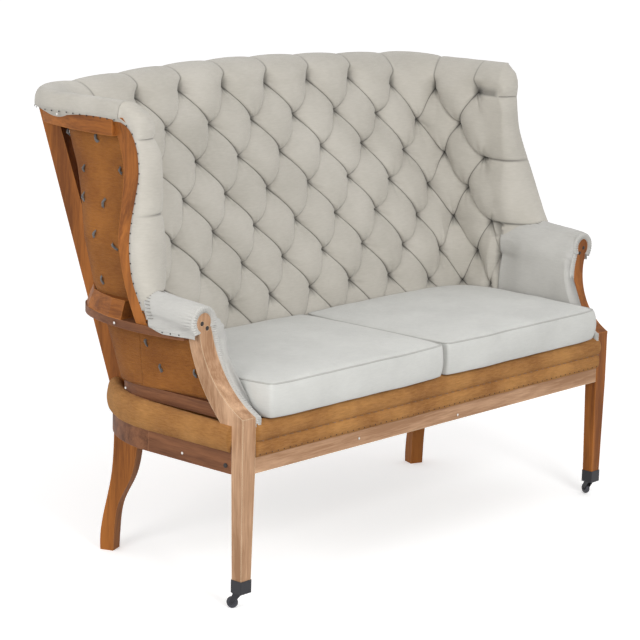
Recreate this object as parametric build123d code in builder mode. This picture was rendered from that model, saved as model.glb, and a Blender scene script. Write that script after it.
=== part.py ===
from build123d import *
import os
from math import cos, hypot, pi, radians, sin

# A high back settee with its outside covers left off: a beech frame on two
# sabre legs and two caster legs, hessian panels, a deep-buttoned linen inside
# back that wraps round into the wings, scrolled arms and two loose cushions.
# Millimetres, +Z up, +X along the seat, the sitter faces -Y.

# ---------------------------------------------------------------- sizes
overall_depth = 866.0
cushion_overhang = 23.0
leg_front = cushion_overhang - overall_depth / 2   # front faces of the front legs

seam_gap = 0.4                   # soft pieces stand clear of what they meet

# seat frame
seat_half_width = 722.0          # outer faces of the front legs
rail_bottom = 333.0
rail_height = 65.0
rail_thickness = 30.0
rail_top = rail_bottom + rail_height
side_rail_proud = 2.0
seat_corner_radius = 326.0
seat_depth = 642.0               # front of the legs to the outside of the back rail

# front posts: leg and arm post sawn as one piece
leg_width = 43.0
leg_depth = 36.0
leg_foot_width = 33.5
leg_foot_depth = 31.0
leg_foot_inset = 4.5             # the leg draws in on its outside
knee_height = 470.0
scroll_offset = 24.0             # how far the scroll stands out past the leg's outer face
scroll_height = 688.0
scroll_radius = 24.0
scroll_front = 113.0
scroll_depth = 39.0
screw_radius = 3.0
screw_head_radius = 5.0
screw_head_depth = 9.0

# casters
wheel_radius = 14.5
wheel_width = 11.0
caster_trail = 22.0
caster_toe = 22.0                # degrees that the forks have swung outwards
cup_height = 32.0
cup_wall = 1.6
cup_floor = 2.4
fork_plate = 3.0
fork_cheek = 2.2
swivel_gap = 0.6
wheel_headroom = 9.0             # between the wheel and the fork's plate
axle_radius = 2.4
running_clearance = 0.05
pintle_radius = 4.0

# rear posts: sabre leg and raked upright sawn as one piece
post_x = seat_half_width - 144.0
post_y = 517.5
post_splay = 21.0                # degrees outwards from straight back
post_width = 38.0
post_foot_back = 69.5            # centre of the foot behind the post's axis at the seat
post_foot_depth = 36.0
post_seat_back = 16.0
post_seat_depth = 68.0
post_top_depth = 46.0
post_kink = 372.0
post_rake = 0.317                # run back per rise above the seat

# inside back
inner_half_width = seat_half_width - 32.0
inner_corner = 105.0
inner_seat_y = 524.0             # button line at the height below
inner_seat_height = 560.0
inner_rake = 0.351
inner_sag = 22.0                 # the back's ends come forward by this much
wing_end = 352.0                 # the wings' linen turns forward here
wing_end_set_back = 48.0         # further back at the top of the wing
first_row_height = 1138.0        # the top row of tufts, at the middle
row_pitch = 89.2
row_drop = 48.0                  # the rows step down by this much on the wings
button_rows = 7
column_pitch_top = 163.0
column_pitch_low = 155.0
side_pitch_top = 155.0
side_pitch_low = 118.0
flat_columns = 3.5
end_column = 6.0
crown = 35.0                     # height of the diamonds over their buttons
pleat_rise = 22.0                # height of a pleat's middle over its buttons
low_crown = 25.5                 # and of the diamonds behind the cushions
button_radius = 7.0
button_height = 5.0
shank_radius = 1.2
shank_length = 9.0

# outer surface of the stuffing, where the hessian lies
hessian = 2.5
hessian_seat_y = 512.0
hessian_top_y = 803.5
hessian_sag_low = 6.0
hessian_sag_top = 100.0
hessian_side_low = seat_half_width - 14.0
hessian_side_arm = seat_half_width + 2.0
hessian_side_elbow = seat_half_width + 18.0
hessian_side_top = seat_half_width - 19.0
arm_taper = 0.105                # the arms draw in towards the front

# tub frame
tub_rail_bottom = 455.0
tub_rail_height = 32.5
tub_rail_top = tub_rail_bottom + tub_rail_height
tub_rail_thickness = 26.0
tub_half_width = seat_half_width - 16.0
tub_corner = 150.0
tub_back_y = 512.0
back_rail_thickness = 42.0
plank_bottom = 642.0
plank_thickness = 20.0
plank_top = plank_bottom + plank_thickness
block_height = 44.0
block_front = wing_end + seam_gap
frame_top = 1140.0
top_rail_height = 47.0
crest_half = seat_half_width - 82.0
crest_outer_y = 832.0
crest_bow = 70.0
crest_thickness = 28.0
wing_thickness = 23.0
wing_rail_front = 422.0          # the top rail butts on the wing post here
stile_x = 200.0
stile_width = 38.0
stile_depth = 22.0

# rolls and pads
roll_tack_front = 373.0
roll_stitch = 411.0
roll_top = 459.5
roll_depth = 46.0
side_roll_bottom = 387.0
side_roll_top = 450.0
side_roll_out = 14.0
arm_roll_radius = 40.0
crest_rise = 66.0                # top roll over the top rail, at the middle
wing_rise = 33.0                 # and at the wings
facing_bottom = 446.0

# cushions
cushion_clearance = 0.5
cushion_bottom = roll_top + cushion_clearance
cushion_side = 84.0              # bottom to top seam
cushion_crown = 18.0
cushion_gap = 1.5                # half the gap between the two
cushion_lift = 250.0             # way up that the wings leave free
cushion_front_x = seat_half_width - 73.0



def y(depth):
    """Depth behind the front legs' faces, as a Y of the settee's frame."""
    return leg_front + depth


def out(amount):
    """Half width at so much outside the outer faces of the front legs."""
    return seat_half_width + amount


def up(share):
    """Height at a share of the way from the arm plank to the top of the frame."""
    return plank_top + (frame_top - plank_top) * share


def blend(a, b, share):
    """Part of the way from a to b, held between the two."""
    return a + (b - a) * min(max(share, 0.0), 1.0)


def write(part, name):
    """Write one node's STEP file."""
    part.label = name
    export_step(part, f"parts/{name}.step")


def write_pair(part, name):
    """Write a right-hand piece and its mirror image."""
    write(mirror(part, about=Plane.YZ), f"{name}_left")
    write(part, f"{name}_right")


os.makedirs("parts", exist_ok=True)


# ---------------------------------------------------------------- the tub's surfaces
def button_line(z):
    """Depth of the inside back's button line at the middle, at height z."""
    return inner_seat_y + (z - inner_seat_height) * inner_rake


def wing_front(z):
    """Depth at which the tufted side ends, at height z."""
    return wing_end + wing_end_set_back * blend(0, 1, (z - frame_top + 90.0) / 90.0)


inner_flat = inner_half_width - inner_corner
corner_length = inner_corner * pi / 2


def side_length(z):
    """Length of the tufted wing from the corner to its front end."""
    return button_line(z) - inner_sag - inner_corner - wing_front(z)


def column_place(column, z):
    """Path length from the middle to a column of the button grid."""
    low = (frame_top - z) / (frame_top - tub_rail_top)
    flat = column_pitch_top + (column_pitch_low - column_pitch_top) * low
    side = side_pitch_top + (side_pitch_low - side_pitch_top) * low
    if column >= end_column:
        return inner_flat + corner_length + side_length(z)
    if column <= flat_columns:
        return flat * column
    place = flat * flat_columns + side * (column - flat_columns)
    return min(place, inner_flat + corner_length + side_length(z) - side * (end_column - column) / 2)


def inner_point(column, z, proud=0.0):
    """A point of the inside back, proud of the button line by so much."""
    hand = -1 if column < 0 else 1
    place = column_place(abs(column), z)
    back = button_line(z)
    if place <= inner_flat:
        return (hand * place, y(back - inner_sag * (place / inner_flat) ** 2 - proud), z)
    centre = back - inner_sag - inner_corner
    if place <= inner_flat + corner_length:
        turn = (place - inner_flat) / inner_corner
        radius = inner_corner - proud
        return (hand * (inner_flat + radius * sin(turn)), y(centre + radius * cos(turn)), z)
    depth = centre - (place - inner_flat - corner_length)
    return (hand * (inner_half_width - proud), y(depth), z)


def hessian_side(z):
    """Half width of the hessian's outer face at height z."""
    if z < plank_top:
        return blend(hessian_side_low, hessian_side_arm, (z - tub_rail_top) / (plank_bottom - tub_rail_top))
    if z < up(0.35):
        return blend(hessian_side_arm, hessian_side_elbow, (z - plank_top) / 60.0)
    return blend(hessian_side_elbow, hessian_side_top, (z - up(0.35)) / 170.0)


def hessian_back(x, z):
    """Depth of the hessian's outer face behind the back, at x and z."""
    high = (z - tub_rail_top) / (frame_top - tub_rail_top)
    middle = hessian_seat_y + (hessian_top_y - hessian_seat_y) * high
    bow = hessian_sag_low + (hessian_sag_top - hessian_sag_low) * min(1.0, high * 1.45)
    return middle - bow * (x / inner_half_width) ** 2


def outer_point(column, z, inset=0.0):
    """A point of the hessian's outer face, or inset from it, level with a column."""
    hand = -1 if column < 0 else 1
    place = column_place(abs(column), z)
    if place <= inner_flat:
        return (hand * place, y(hessian_back(place, z) - inset), z)
    centre = button_line(z) - inner_sag - inner_corner
    out_x = hessian_side(z) - inner_flat - inset
    out_y = hessian_back(inner_flat, z) - centre - inset
    if place <= inner_flat + corner_length:
        turn = (place - inner_flat) / inner_corner
        return (hand * (inner_flat + out_x * sin(turn)), y(centre + out_y * cos(turn)), z)
    depth = centre - (place - inner_flat - corner_length)
    return (hand * (inner_flat + out_x), y(depth), z)


def drop(column):
    """How far the rows have stepped down at a column."""
    share = blend(0, 1, (abs(column) - 2.0) / 2.2)
    return row_drop * share * share * (3 - 2 * share)


def row_height(row, column):
    """Height of a row of the button grid at a column."""
    return first_row_height - drop(column) - row * row_pitch


def level(step):
    """Height at one of 15 equal steps down the tub's outside."""
    return frame_top - (frame_top - tub_rail_top) * step / 15


hessian_steps = [0, 3, 7, 10, 11, 12, 15]
hessian_levels = [level(step) for step in hessian_steps]
hessian_columns = [0, 1, 2, 3, 3.5, 4, 4.5, 5, 5.5, end_column]


def span_of(value, stops):
    """The neighbouring stops round a value, and the share of the way between them."""
    for low, high in zip(stops, stops[1:]):
        if value <= high:
            return low, high, (value - low) / (high - low)
    return stops[-2], stops[-1], 1.0


def hessian_facet(column, z, inset=0.0):
    """A point on the flat facets of the hessian at a column and height."""
    c0, c1, u = span_of(abs(column), hessian_columns)
    s0, s1, v = span_of((frame_top - z) / (frame_top - tub_rail_top) * 15, hessian_steps)
    upper = Vector(*outer_point(c0, level(s0), inset))
    lower = Vector(*outer_point(c0, level(s1), inset))
    far_upper = Vector(*outer_point(c1, level(s0), inset))
    far_lower = Vector(*outer_point(c1, level(s1), inset))
    if v >= u:
        spot = upper + (lower - upper) * v + (far_lower - lower) * u
    else:
        spot = upper + (far_upper - upper) * u + (far_lower - far_upper) * v
    return (-spot.X if column < 0 else spot.X, spot.Y, spot.Z)


def tuft(column, z):
    """Height of the linen over the button line at a column and height."""
    row = (first_row_height - drop(column) - z) / row_pitch
    place = min(abs(column), end_column - 0.5)
    if place < end_column - 0.5:
        row = max(row, 0.0)
    across = (place + 0.5 + row / 2) % 1.0
    along = (place + 0.5 - row / 2) % 1.0
    hill = (sin(pi * across) * sin(pi * along)) ** 0.6
    pleat = max(sin(pi * across), sin(pi * along))
    least = low_crown / crown
    low = blend(1.0, least, (cushion_bottom + cushion_side + 95.0 - z) / 75.0)
    side = blend(0.0, 1.0, (place - 4.1) / 0.5)
    low = min(low, blend(1.0, least, side * (cushion_bottom + cushion_side + cushion_lift + 80.0 - z) / 75.0))
    fade = low * blend(1.0, 0.3, (tub_rail_top + 45.0 - z) / 45.0)
    return (crown * hill + pleat_rise * pleat * (1 - hill)) * fade


def facet(points):
    """One flat triangle through three points."""
    return Face(Wire.make_polygon(points, close=True))


def skinned(rings, diagonal=lambda i, j: True):
    """A closed solid through rings of points, one ring after another."""
    faces = []
    count = len(rings[0])
    for i in range(len(rings) - 1):
        for j in range(count):
            near, far = rings[i], rings[i + 1]
            a, b, c, d = near[j], near[(j + 1) % count], far[(j + 1) % count], far[j]
            if diagonal(i, j):
                faces += [facet((a, b, c)), facet((a, c, d))]
            else:
                faces += [facet((a, b, d)), facet((b, c, d))]
    return Solid(Shell(faces + [cap for end in (rings[0], rings[-1]) for cap in end_cap(end)]))


def end_cap(ring):
    """The flat end of a ring that folds back on itself: a strip of triangles."""
    count = len(ring)
    half = count // 2
    faces = []
    for j in range(half - 1):
        a, b = ring[j], ring[j + 1]
        c, d = ring[count - 2 - j], ring[count - 1 - j]
        faces += [facet((a, b, d)), facet((b, c, d))]
    return faces


# ---------------------------------------------------------------- front posts
def post_front(z):
    """Depth of the arm post's front edge at height z, above the knee."""
    return scroll_front * (1 - (1 - blend(0, 1, (z - knee_height) / 180.0)) ** 2)


cup_top = wheel_radius * 2 + wheel_headroom + fork_plate + swivel_gap + cup_height
leg_end = cup_top - cup_height + cup_floor
leg_inner = seat_half_width - leg_width
foot_outer = seat_half_width - leg_foot_inset
scroll_x = seat_half_width + scroll_offset - 3.0

with BuildPart() as front_post:
    with BuildSketch(Plane.YZ.offset(leg_inner - 30)):
        with BuildLine():
            Polyline(
                (y(3), leg_end),
                (y(3), cup_top),
                (y(0), rail_bottom),
                (y(0), knee_height),
            )
            ThreePointArc((y(0), knee_height), (y(75), 532), (y(scroll_front), 650))
            Polyline(
                (y(scroll_front), 650),
                (y(scroll_front), scroll_height + scroll_radius + 10),
                (y(scroll_front + scroll_depth), scroll_height + scroll_radius + 10),
                (y(scroll_front + scroll_depth), 637),
            )
            ThreePointArc((y(scroll_front + scroll_depth), 637), (y(107), 492), (y(leg_depth), 415))
            Polyline(
                (y(leg_depth), 415),
                (y(leg_depth), rail_bottom),
                (y(3 + leg_foot_depth), cup_top),
                (y(3 + leg_foot_depth), leg_end),
                (y(3), leg_end),
            )
        make_face()
    extrude(amount=leg_width + 100)
    with BuildSketch(Plane.XZ.offset(-y(-20))):
        with BuildLine():
            Polyline((foot_outer - leg_foot_width, leg_end),
                     (foot_outer - leg_foot_width, cup_top),
                     (leg_inner, rail_bottom),
                     (leg_inner, knee_height - 10))
            ThreePointArc((leg_inner, knee_height - 10), (leg_inner + 12, 560),
                          (scroll_x - scroll_radius, scroll_height - 12))
            Line((scroll_x - scroll_radius, scroll_height - 12), (scroll_x + 15, scroll_height - 19))
            ThreePointArc((scroll_x + 15, scroll_height - 19), (seat_half_width + 14, 560),
                          (seat_half_width, knee_height - 10))
            Polyline((seat_half_width, knee_height - 10),
                     (seat_half_width, rail_bottom),
                     (foot_outer, cup_top),
                     (foot_outer, leg_end),
                     (foot_outer - leg_foot_width, leg_end))
        make_face()
        with Locations((scroll_x, scroll_height)):
            Circle(scroll_radius)
    extrude(amount=-260, mode=Mode.INTERSECT)
    with Locations(Plane.XZ.offset(-y(scroll_front))):
        with Locations((scroll_x + 5, scroll_height - 2), (scroll_x - 12, scroll_height - 15)):
            CounterBoreHole(screw_radius, screw_head_radius, screw_head_depth, depth=scroll_depth + 1)
write_pair(front_post.part, "front_post")

with BuildPart() as scroll_screws:
    with BuildSketch(Plane.XZ.offset(-y(scroll_front + screw_head_depth - 3))):
        for hand in (-1, 1):
            with Locations((hand * (scroll_x + 5), scroll_height - 2),
                           (hand * (scroll_x - 12), scroll_height - 15)):
                Circle(screw_head_radius - 0.2)
    extrude(amount=-3)
    with BuildSketch(Plane.XZ.offset(-y(scroll_front + screw_head_depth))):
        for hand in (-1, 1):
            with Locations((hand * (scroll_x + 5), scroll_height - 2),
                           (hand * (scroll_x - 12), scroll_height - 15)):
                Circle(screw_radius - 0.1)
    extrude(amount=-(scroll_depth - screw_head_depth - 1))
write(scroll_screws.part, "scroll_screws")

# ---------------------------------------------------------------- casters
caster_x = foot_outer - leg_foot_width / 2
caster_y = 3 + leg_foot_depth / 2
cup_bottom = cup_top - cup_height

with BuildPart() as caster_cup:
    with BuildSketch(Plane.XY.offset(cup_bottom)):
        with Locations((caster_x, y(caster_y))):
            RectangleRounded(leg_foot_width + 2 * cup_wall, leg_foot_depth + 2 * cup_wall, 1.2)
    extrude(amount=cup_height)
    with BuildSketch(Plane.XY.offset(leg_end)):
        with Locations((caster_x, y(caster_y))):
            Rectangle(leg_foot_width + 0.1, leg_foot_depth + 0.1)
    extrude(amount=cup_height, mode=Mode.SUBTRACT)
    with BuildSketch(Plane.XY.offset(cup_bottom - swivel_gap - fork_plate - 1.5)):
        with Locations((caster_x, y(caster_y))):
            Circle(pintle_radius)
    extrude(amount=swivel_gap + fork_plate + 1.5 + cup_floor / 2)
write_pair(caster_cup.part, "caster_cup")


def fork_frame(hand):
    """The fork's own plane: origin under the leg, x towards the wheel."""
    turn = radians(90 - caster_toe)
    return Plane(origin=(hand * caster_x, y(caster_y), 0),
                 x_dir=(hand * cos(turn), sin(turn), 0), z_dir=(0, 0, 1))


plate_top = cup_bottom - swivel_gap
plate_bottom = plate_top - fork_plate
cheek_gap = wheel_width / 2 + 0.7
for side, hand in (("left", -1), ("right", 1)):
    frame = fork_frame(hand)
    with BuildPart() as caster_fork:
        with BuildSketch(frame.offset(plate_bottom)):
            with Locations((caster_trail * 0.30, 0)):
                SlotOverall(caster_trail * 0.6 + 18, 2 * (cheek_gap + fork_cheek))
            Circle(pintle_radius + running_clearance, mode=Mode.SUBTRACT)
        extrude(amount=fork_plate)
        for cheek in (-1, 1):
            upright = Plane(origin=frame.origin + frame.y_dir * cheek * (cheek_gap + fork_cheek / 2),
                            x_dir=frame.x_dir, z_dir=frame.x_dir.cross(Vector(0, 0, 1)))
            with BuildSketch(upright):
                with BuildLine():
                    Polyline((caster_trail - 5.5, wheel_radius), (-3, plate_bottom + 1),
                             (caster_trail - 4, plate_bottom + 1), (caster_trail + 5.5, wheel_radius))
                    ThreePointArc((caster_trail + 5.5, wheel_radius), (caster_trail, wheel_radius - 5.5),
                                  (caster_trail - 5.5, wheel_radius))
                make_face()
            extrude(amount=fork_cheek / 2, both=True)
        with Locations(Plane(origin=frame.origin + frame.x_dir * caster_trail + Vector(0, 0, wheel_radius),
                             x_dir=frame.x_dir, z_dir=frame.y_dir)):
            Cylinder(axle_radius, 2 * (cheek_gap + fork_cheek) + 3)
    write(caster_fork.part, f"caster_fork_{side}")
    with BuildPart() as caster_wheel:
        with BuildSketch(Plane(origin=frame.origin + frame.x_dir * caster_trail + Vector(0, 0, wheel_radius),
                               x_dir=frame.y_dir, z_dir=frame.x_dir)):
            with BuildLine():
                Polyline((-wheel_width / 2, axle_radius + running_clearance),
                         (wheel_width / 2, axle_radius + running_clearance),
                         (wheel_width / 2, wheel_radius - 2))
                ThreePointArc((wheel_width / 2, wheel_radius - 2), (0, wheel_radius),
                              (-wheel_width / 2, wheel_radius - 2))
                Line((-wheel_width / 2, wheel_radius - 2),
                     (-wheel_width / 2, axle_radius + running_clearance))
            make_face()
        revolve(axis=Axis(frame.origin + frame.x_dir * caster_trail + Vector(0, 0, wheel_radius), frame.y_dir))
    write(caster_wheel.part, f"caster_wheel_{side}")

# ---------------------------------------------------------------- rear posts
splay = radians(post_splay)
post_plane = Plane(origin=(post_x, y(post_y), 0), x_dir=(sin(splay), cos(splay), 0),
                   z_dir=(cos(splay), -sin(splay), 0))
post_top = frame_top - 0.5
post_top_run = (post_top - post_kink) * post_rake
foot_front = post_foot_back - post_foot_depth / 2
foot_rear = post_foot_back + post_foot_depth / 2
seat_front = post_seat_back - post_seat_depth / 2
seat_rear = post_seat_back + post_seat_depth / 2


def sabre(at_seat, at_foot, sweep):
    """Points down one edge of the leg: share of the rail's height, share of the sweep."""
    return [(blend(at_seat, at_foot, share), rail_bottom * height) for height, share in sweep]


with BuildPart() as rear_post:
    with BuildSketch(post_plane):
        with BuildLine():
            Spline(*sabre(seat_rear, foot_rear, [(1, 0), (0.8, 0.04), (0.6, 0.2), (0.37, 0.62),
                                                 (0.18, 0.95), (0, 1)]))
            Line((foot_rear, 0), (foot_front, 0))
            Spline(*sabre(seat_front, foot_front, [(0, 1), (0.18, 0.95), (0.39, 0.78), (0.585, 0.33),
                                                   (0.87, 0.05), (1, 0)]))
            Polyline((seat_front, rail_bottom), (seat_front, post_kink),
                     (post_top_run - post_top_depth / 2, post_top),
                     (post_top_run + post_top_depth / 2, post_top),
                     (seat_rear, post_kink + 26), (seat_rear, rail_bottom))
        make_face()
    extrude(amount=post_width / 2, both=True)
write_pair(rear_post.part, "rear_post")
post_pair = rear_post.part + mirror(rear_post.part, about=Plane.YZ)

# ---------------------------------------------------------------- seat frame
side_outer = seat_half_width + side_rail_proud
corner_x = side_outer - seat_corner_radius
corner_y = seat_depth - seat_corner_radius

with BuildPart() as front_seat_rail:
    with BuildSketch(Plane.XY.offset(rail_bottom)):
        with Locations((0, y(1.5 + rail_thickness / 2))):
            Rectangle(2 * leg_inner, rail_thickness)
    extrude(amount=rail_height)
write(front_seat_rail.part, "front_seat_rail")

with BuildPart() as side_seat_rail:
    with BuildSketch(Plane.XY.offset(rail_bottom)):
        with Locations((side_outer - rail_thickness / 2, y((leg_depth + corner_y) / 2))):
            Rectangle(rail_thickness, corner_y - leg_depth)
    extrude(amount=rail_height)
write_pair(side_seat_rail.part, "side_seat_rail")

with BuildPart() as corner_seat_rail:
    with BuildSketch(Plane.XY.offset(rail_bottom)):
        with BuildLine():
            mid = seat_corner_radius * sin(pi / 4)
            inner_mid = (seat_corner_radius - rail_thickness) * sin(pi / 4)
            ThreePointArc((side_outer, y(corner_y)), (corner_x + mid, y(corner_y + mid)),
                          (corner_x, y(seat_depth)))
            Line((corner_x, y(seat_depth)), (corner_x, y(seat_depth - rail_thickness)))
            ThreePointArc((corner_x, y(seat_depth - rail_thickness)),
                          (corner_x + inner_mid, y(corner_y + inner_mid)),
                          (side_outer - rail_thickness, y(corner_y)))
            Line((side_outer - rail_thickness, y(corner_y)), (side_outer, y(corner_y)))
        make_face()
    extrude(amount=rail_height)
    add(rear_post.part, mode=Mode.SUBTRACT)
write_pair(corner_seat_rail.part, "corner_seat_rail")

with BuildPart() as back_seat_rail:
    with BuildSketch(Plane.XY.offset(rail_bottom)):
        with Locations((0, y(seat_depth - rail_thickness / 2))):
            Rectangle(2 * corner_x, rail_thickness)
    extrude(amount=rail_height)
write(back_seat_rail.part, "back_seat_rail")

brace_x = 235.0
brace_width = 45.0
front_rail_back = 1.5 + rail_thickness
with BuildPart() as seat_brace:
    with BuildSketch(Plane.XY.offset(rail_bottom + 12)):
        with Locations((brace_x, y((front_rail_back + seat_depth - rail_thickness) / 2))):
            Rectangle(brace_width, seat_depth - rail_thickness - front_rail_back)
    extrude(amount=22)
write(seat_brace.part + mirror(seat_brace.part, about=Plane.YZ), "seat_braces")

block_leg = 62.0
with BuildPart() as front_corner_block:
    with BuildSketch(Plane.XY.offset(rail_bottom + 8)):
        with BuildLine():
            Polyline((leg_inner, y(front_rail_back)), (leg_inner - block_leg, y(front_rail_back)),
                     (side_outer - rail_thickness, y(leg_depth + block_leg)),
                     (side_outer - rail_thickness, y(leg_depth)), (leg_inner, y(leg_depth)), close=True)
        make_face()
    extrude(amount=30)
write(front_corner_block.part + mirror(front_corner_block.part, about=Plane.YZ), "corner_blocks")

# bolts through the side rails into the front legs
bolt_y = leg_depth + 16
with BuildPart() as frame_bolts:
    for hand in (-1, 1):
        face = Plane(origin=(hand * side_outer, y(bolt_y), 352), z_dir=(hand, 0, 0))
        with BuildSketch(face):
            Circle(5.5)
        extrude(amount=3)
write(frame_bolts.part, "frame_bolts")

# ---------------------------------------------------------------- springs and webbing
web_width = 50.0
web_thickness = 1.6
web_columns = 9
web_pitch = 128.0
spring_columns = 8
spring_rows = 3
spring_pitch_x = 148.0
spring_pitch_y = 150.0
spring_first_y = 150.0
spring_radius = 38.0
spring_waist = 22.0



def rail_middle_y(x):
    """Depth of the middle of the back or corner rail at x."""
    if x <= corner_x:
        return seat_depth - rail_thickness / 2
    reach = seat_corner_radius - rail_thickness / 2
    return corner_y + (reach ** 2 - (x - corner_x) ** 2) ** 0.5


def rail_middle_x(depth):
    """Half width to the middle of the side or corner rail at a depth."""
    if depth <= corner_y:
        return side_outer - rail_thickness / 2
    reach = seat_corner_radius - rail_thickness / 2
    return corner_x + (reach ** 2 - (depth - corner_y) ** 2) ** 0.5


with BuildPart() as seat_webbing:
    with BuildSketch(Plane.XY.offset(rail_bottom - web_thickness)):
        for i in range(web_columns):
            x = (i - (web_columns - 1) / 2) * web_pitch
            front = 1.5 + rail_thickness / 2
            rear = rail_middle_y(abs(x) + web_width / 2)
            with Locations((x, y((front + rear) / 2))):
                Rectangle(web_width, rear - front)
    extrude(amount=web_thickness)
    for j in range(spring_rows):
        depth = spring_first_y + j * spring_pitch_y
        with BuildSketch(Plane.XY.offset(rail_bottom)):
            with Locations((0, y(depth))):
                Rectangle(2 * (rail_middle_x(depth + web_width / 2) - rail_thickness * 0.62), web_width)
        extrude(amount=web_thickness)
write(seat_webbing.part, "seat_webbing")

with BuildPart() as seat_springs:
    with BuildSketch(Plane.XZ):
        with BuildLine():
            half = spring_radius
            Polyline((spring_waist - 4, 365), (half - 4, rail_bottom + web_thickness),
                     (half, rail_bottom + web_thickness), (spring_waist, 365), (half, rail_top - 0.4),
                     (half - 4, rail_top - 0.4), close=True)
        make_face()
    revolve(axis=Axis.Z)
one_spring = seat_springs.part
spring_places = [
    Pos((i - (spring_columns - 1) / 2) * spring_pitch_x, y(spring_first_y + j * spring_pitch_y), 0)
    for i in range(spring_columns)
    for j in range(spring_rows)
    if abs(abs((i - (spring_columns - 1) / 2) * spring_pitch_x) - brace_x) > spring_radius + brace_width / 2
]
springs = Compound([place * one_spring.solid() for place in spring_places])
write(springs, "seat_springs")

# ---------------------------------------------------------------- tub frame
with BuildPart() as lower_side_rail:
    with BuildSketch(Plane.XY.offset(tub_rail_bottom)):
        with BuildLine():
            inner_w = tub_half_width - tub_rail_thickness
            cx = tub_half_width - tub_corner
            cy = tub_back_y - tub_corner
            far = tub_corner * sin(pi / 4)
            near = (tub_corner - tub_rail_thickness) * sin(pi / 4)
            Line((inner_w, y(60)), (tub_half_width, y(60)))
            Line((tub_half_width, y(60)), (tub_half_width, y(cy)))
            ThreePointArc((tub_half_width, y(cy)), (cx + far, y(cy + far)), (cx, y(tub_back_y)))
            Line((cx, y(tub_back_y)), (cx, y(tub_back_y - tub_rail_thickness)))
            ThreePointArc((cx, y(tub_back_y - tub_rail_thickness)), (cx + near, y(cy + near)),
                          (inner_w, y(cy)))
            Line((inner_w, y(cy)), (inner_w, y(60)))
        make_face()
    extrude(amount=tub_rail_top - tub_rail_bottom)
    add(front_post.part, mode=Mode.SUBTRACT)
    add(rear_post.part, mode=Mode.SUBTRACT)
lower_rail_piece = lower_side_rail.part.solids().sort_by(SortBy.VOLUME)[-1]
write_pair(Part(lower_rail_piece.wrapped), "lower_side_rail")

with BuildPart() as lower_back_rail:
    with BuildSketch(Plane.XY.offset(tub_rail_bottom)):
        with Locations((0, y(tub_back_y - tub_rail_thickness + back_rail_thickness / 2))):
            Rectangle(2 * (tub_half_width - tub_corner), back_rail_thickness)
    extrude(amount=tub_rail_top - tub_rail_bottom)
    add(post_pair, mode=Mode.SUBTRACT)
write(lower_back_rail.part, "lower_back_rail")


with BuildPart() as arm_plank:
    with BuildSketch(Plane.XY.offset(plank_bottom)):
        with BuildLine():
            ThreePointArc((out(48), y(152)), (out(66), y(300)), (out(40), y(465)))
            ThreePointArc((out(40), y(465)), (out(12), y(528)), (out(-28), y(576)))
            Line((out(-28), y(576)), (out(-86), y(612)))
            Line((out(-86), y(612)), (out(-100), y(584)))
            ThreePointArc((out(-100), y(584)), (out(-16), y(540)), (out(21), y(452)))
            Polyline((out(21), y(452)), (out(7), y(300)), (out(7), y(152)), (out(48), y(152)))
        make_face()
    extrude(amount=plank_thickness)
    add(rear_post.part, mode=Mode.SUBTRACT)
    add(front_post.part, mode=Mode.SUBTRACT)
plank_piece = arm_plank.part.solids().sort_by(SortBy.VOLUME)[-1]
write_pair(Part(plank_piece.wrapped), "arm_plank")


def block_face(inset, z):
    """Plan of the shaped block on the plank's rear half, its outside inset by so much."""
    slant = inset * 0.75
    with BuildSketch(Plane.XY.offset(z)) as plan:
        with BuildLine():
            Polyline((out(22), y(block_front)), (out(63) - inset, y(block_front)),
                     (out(59) - inset, y(400)), (out(40) - inset, y(462)),
                     (out(16) - slant, y(520 - slant)), (out(-30) - slant, y(574 - slant)),
                     (out(-82), y(608 - inset * 0.3)), (out(-96), y(582)), (out(-42), y(557)),
                     (out(3), y(506)), (out(21), y(452)), close=True)
        make_face()
    return plan.sketch.face()


with BuildPart() as arm_block:
    loft([block_face(0, plank_top), block_face(15, plank_top + block_height)], ruled=True)
    add(rear_post.part, mode=Mode.SUBTRACT)
block_piece = arm_block.part.solids().sort_by(SortBy.VOLUME)[-1]
write_pair(Part(block_piece.wrapped), "arm_block")

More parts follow.
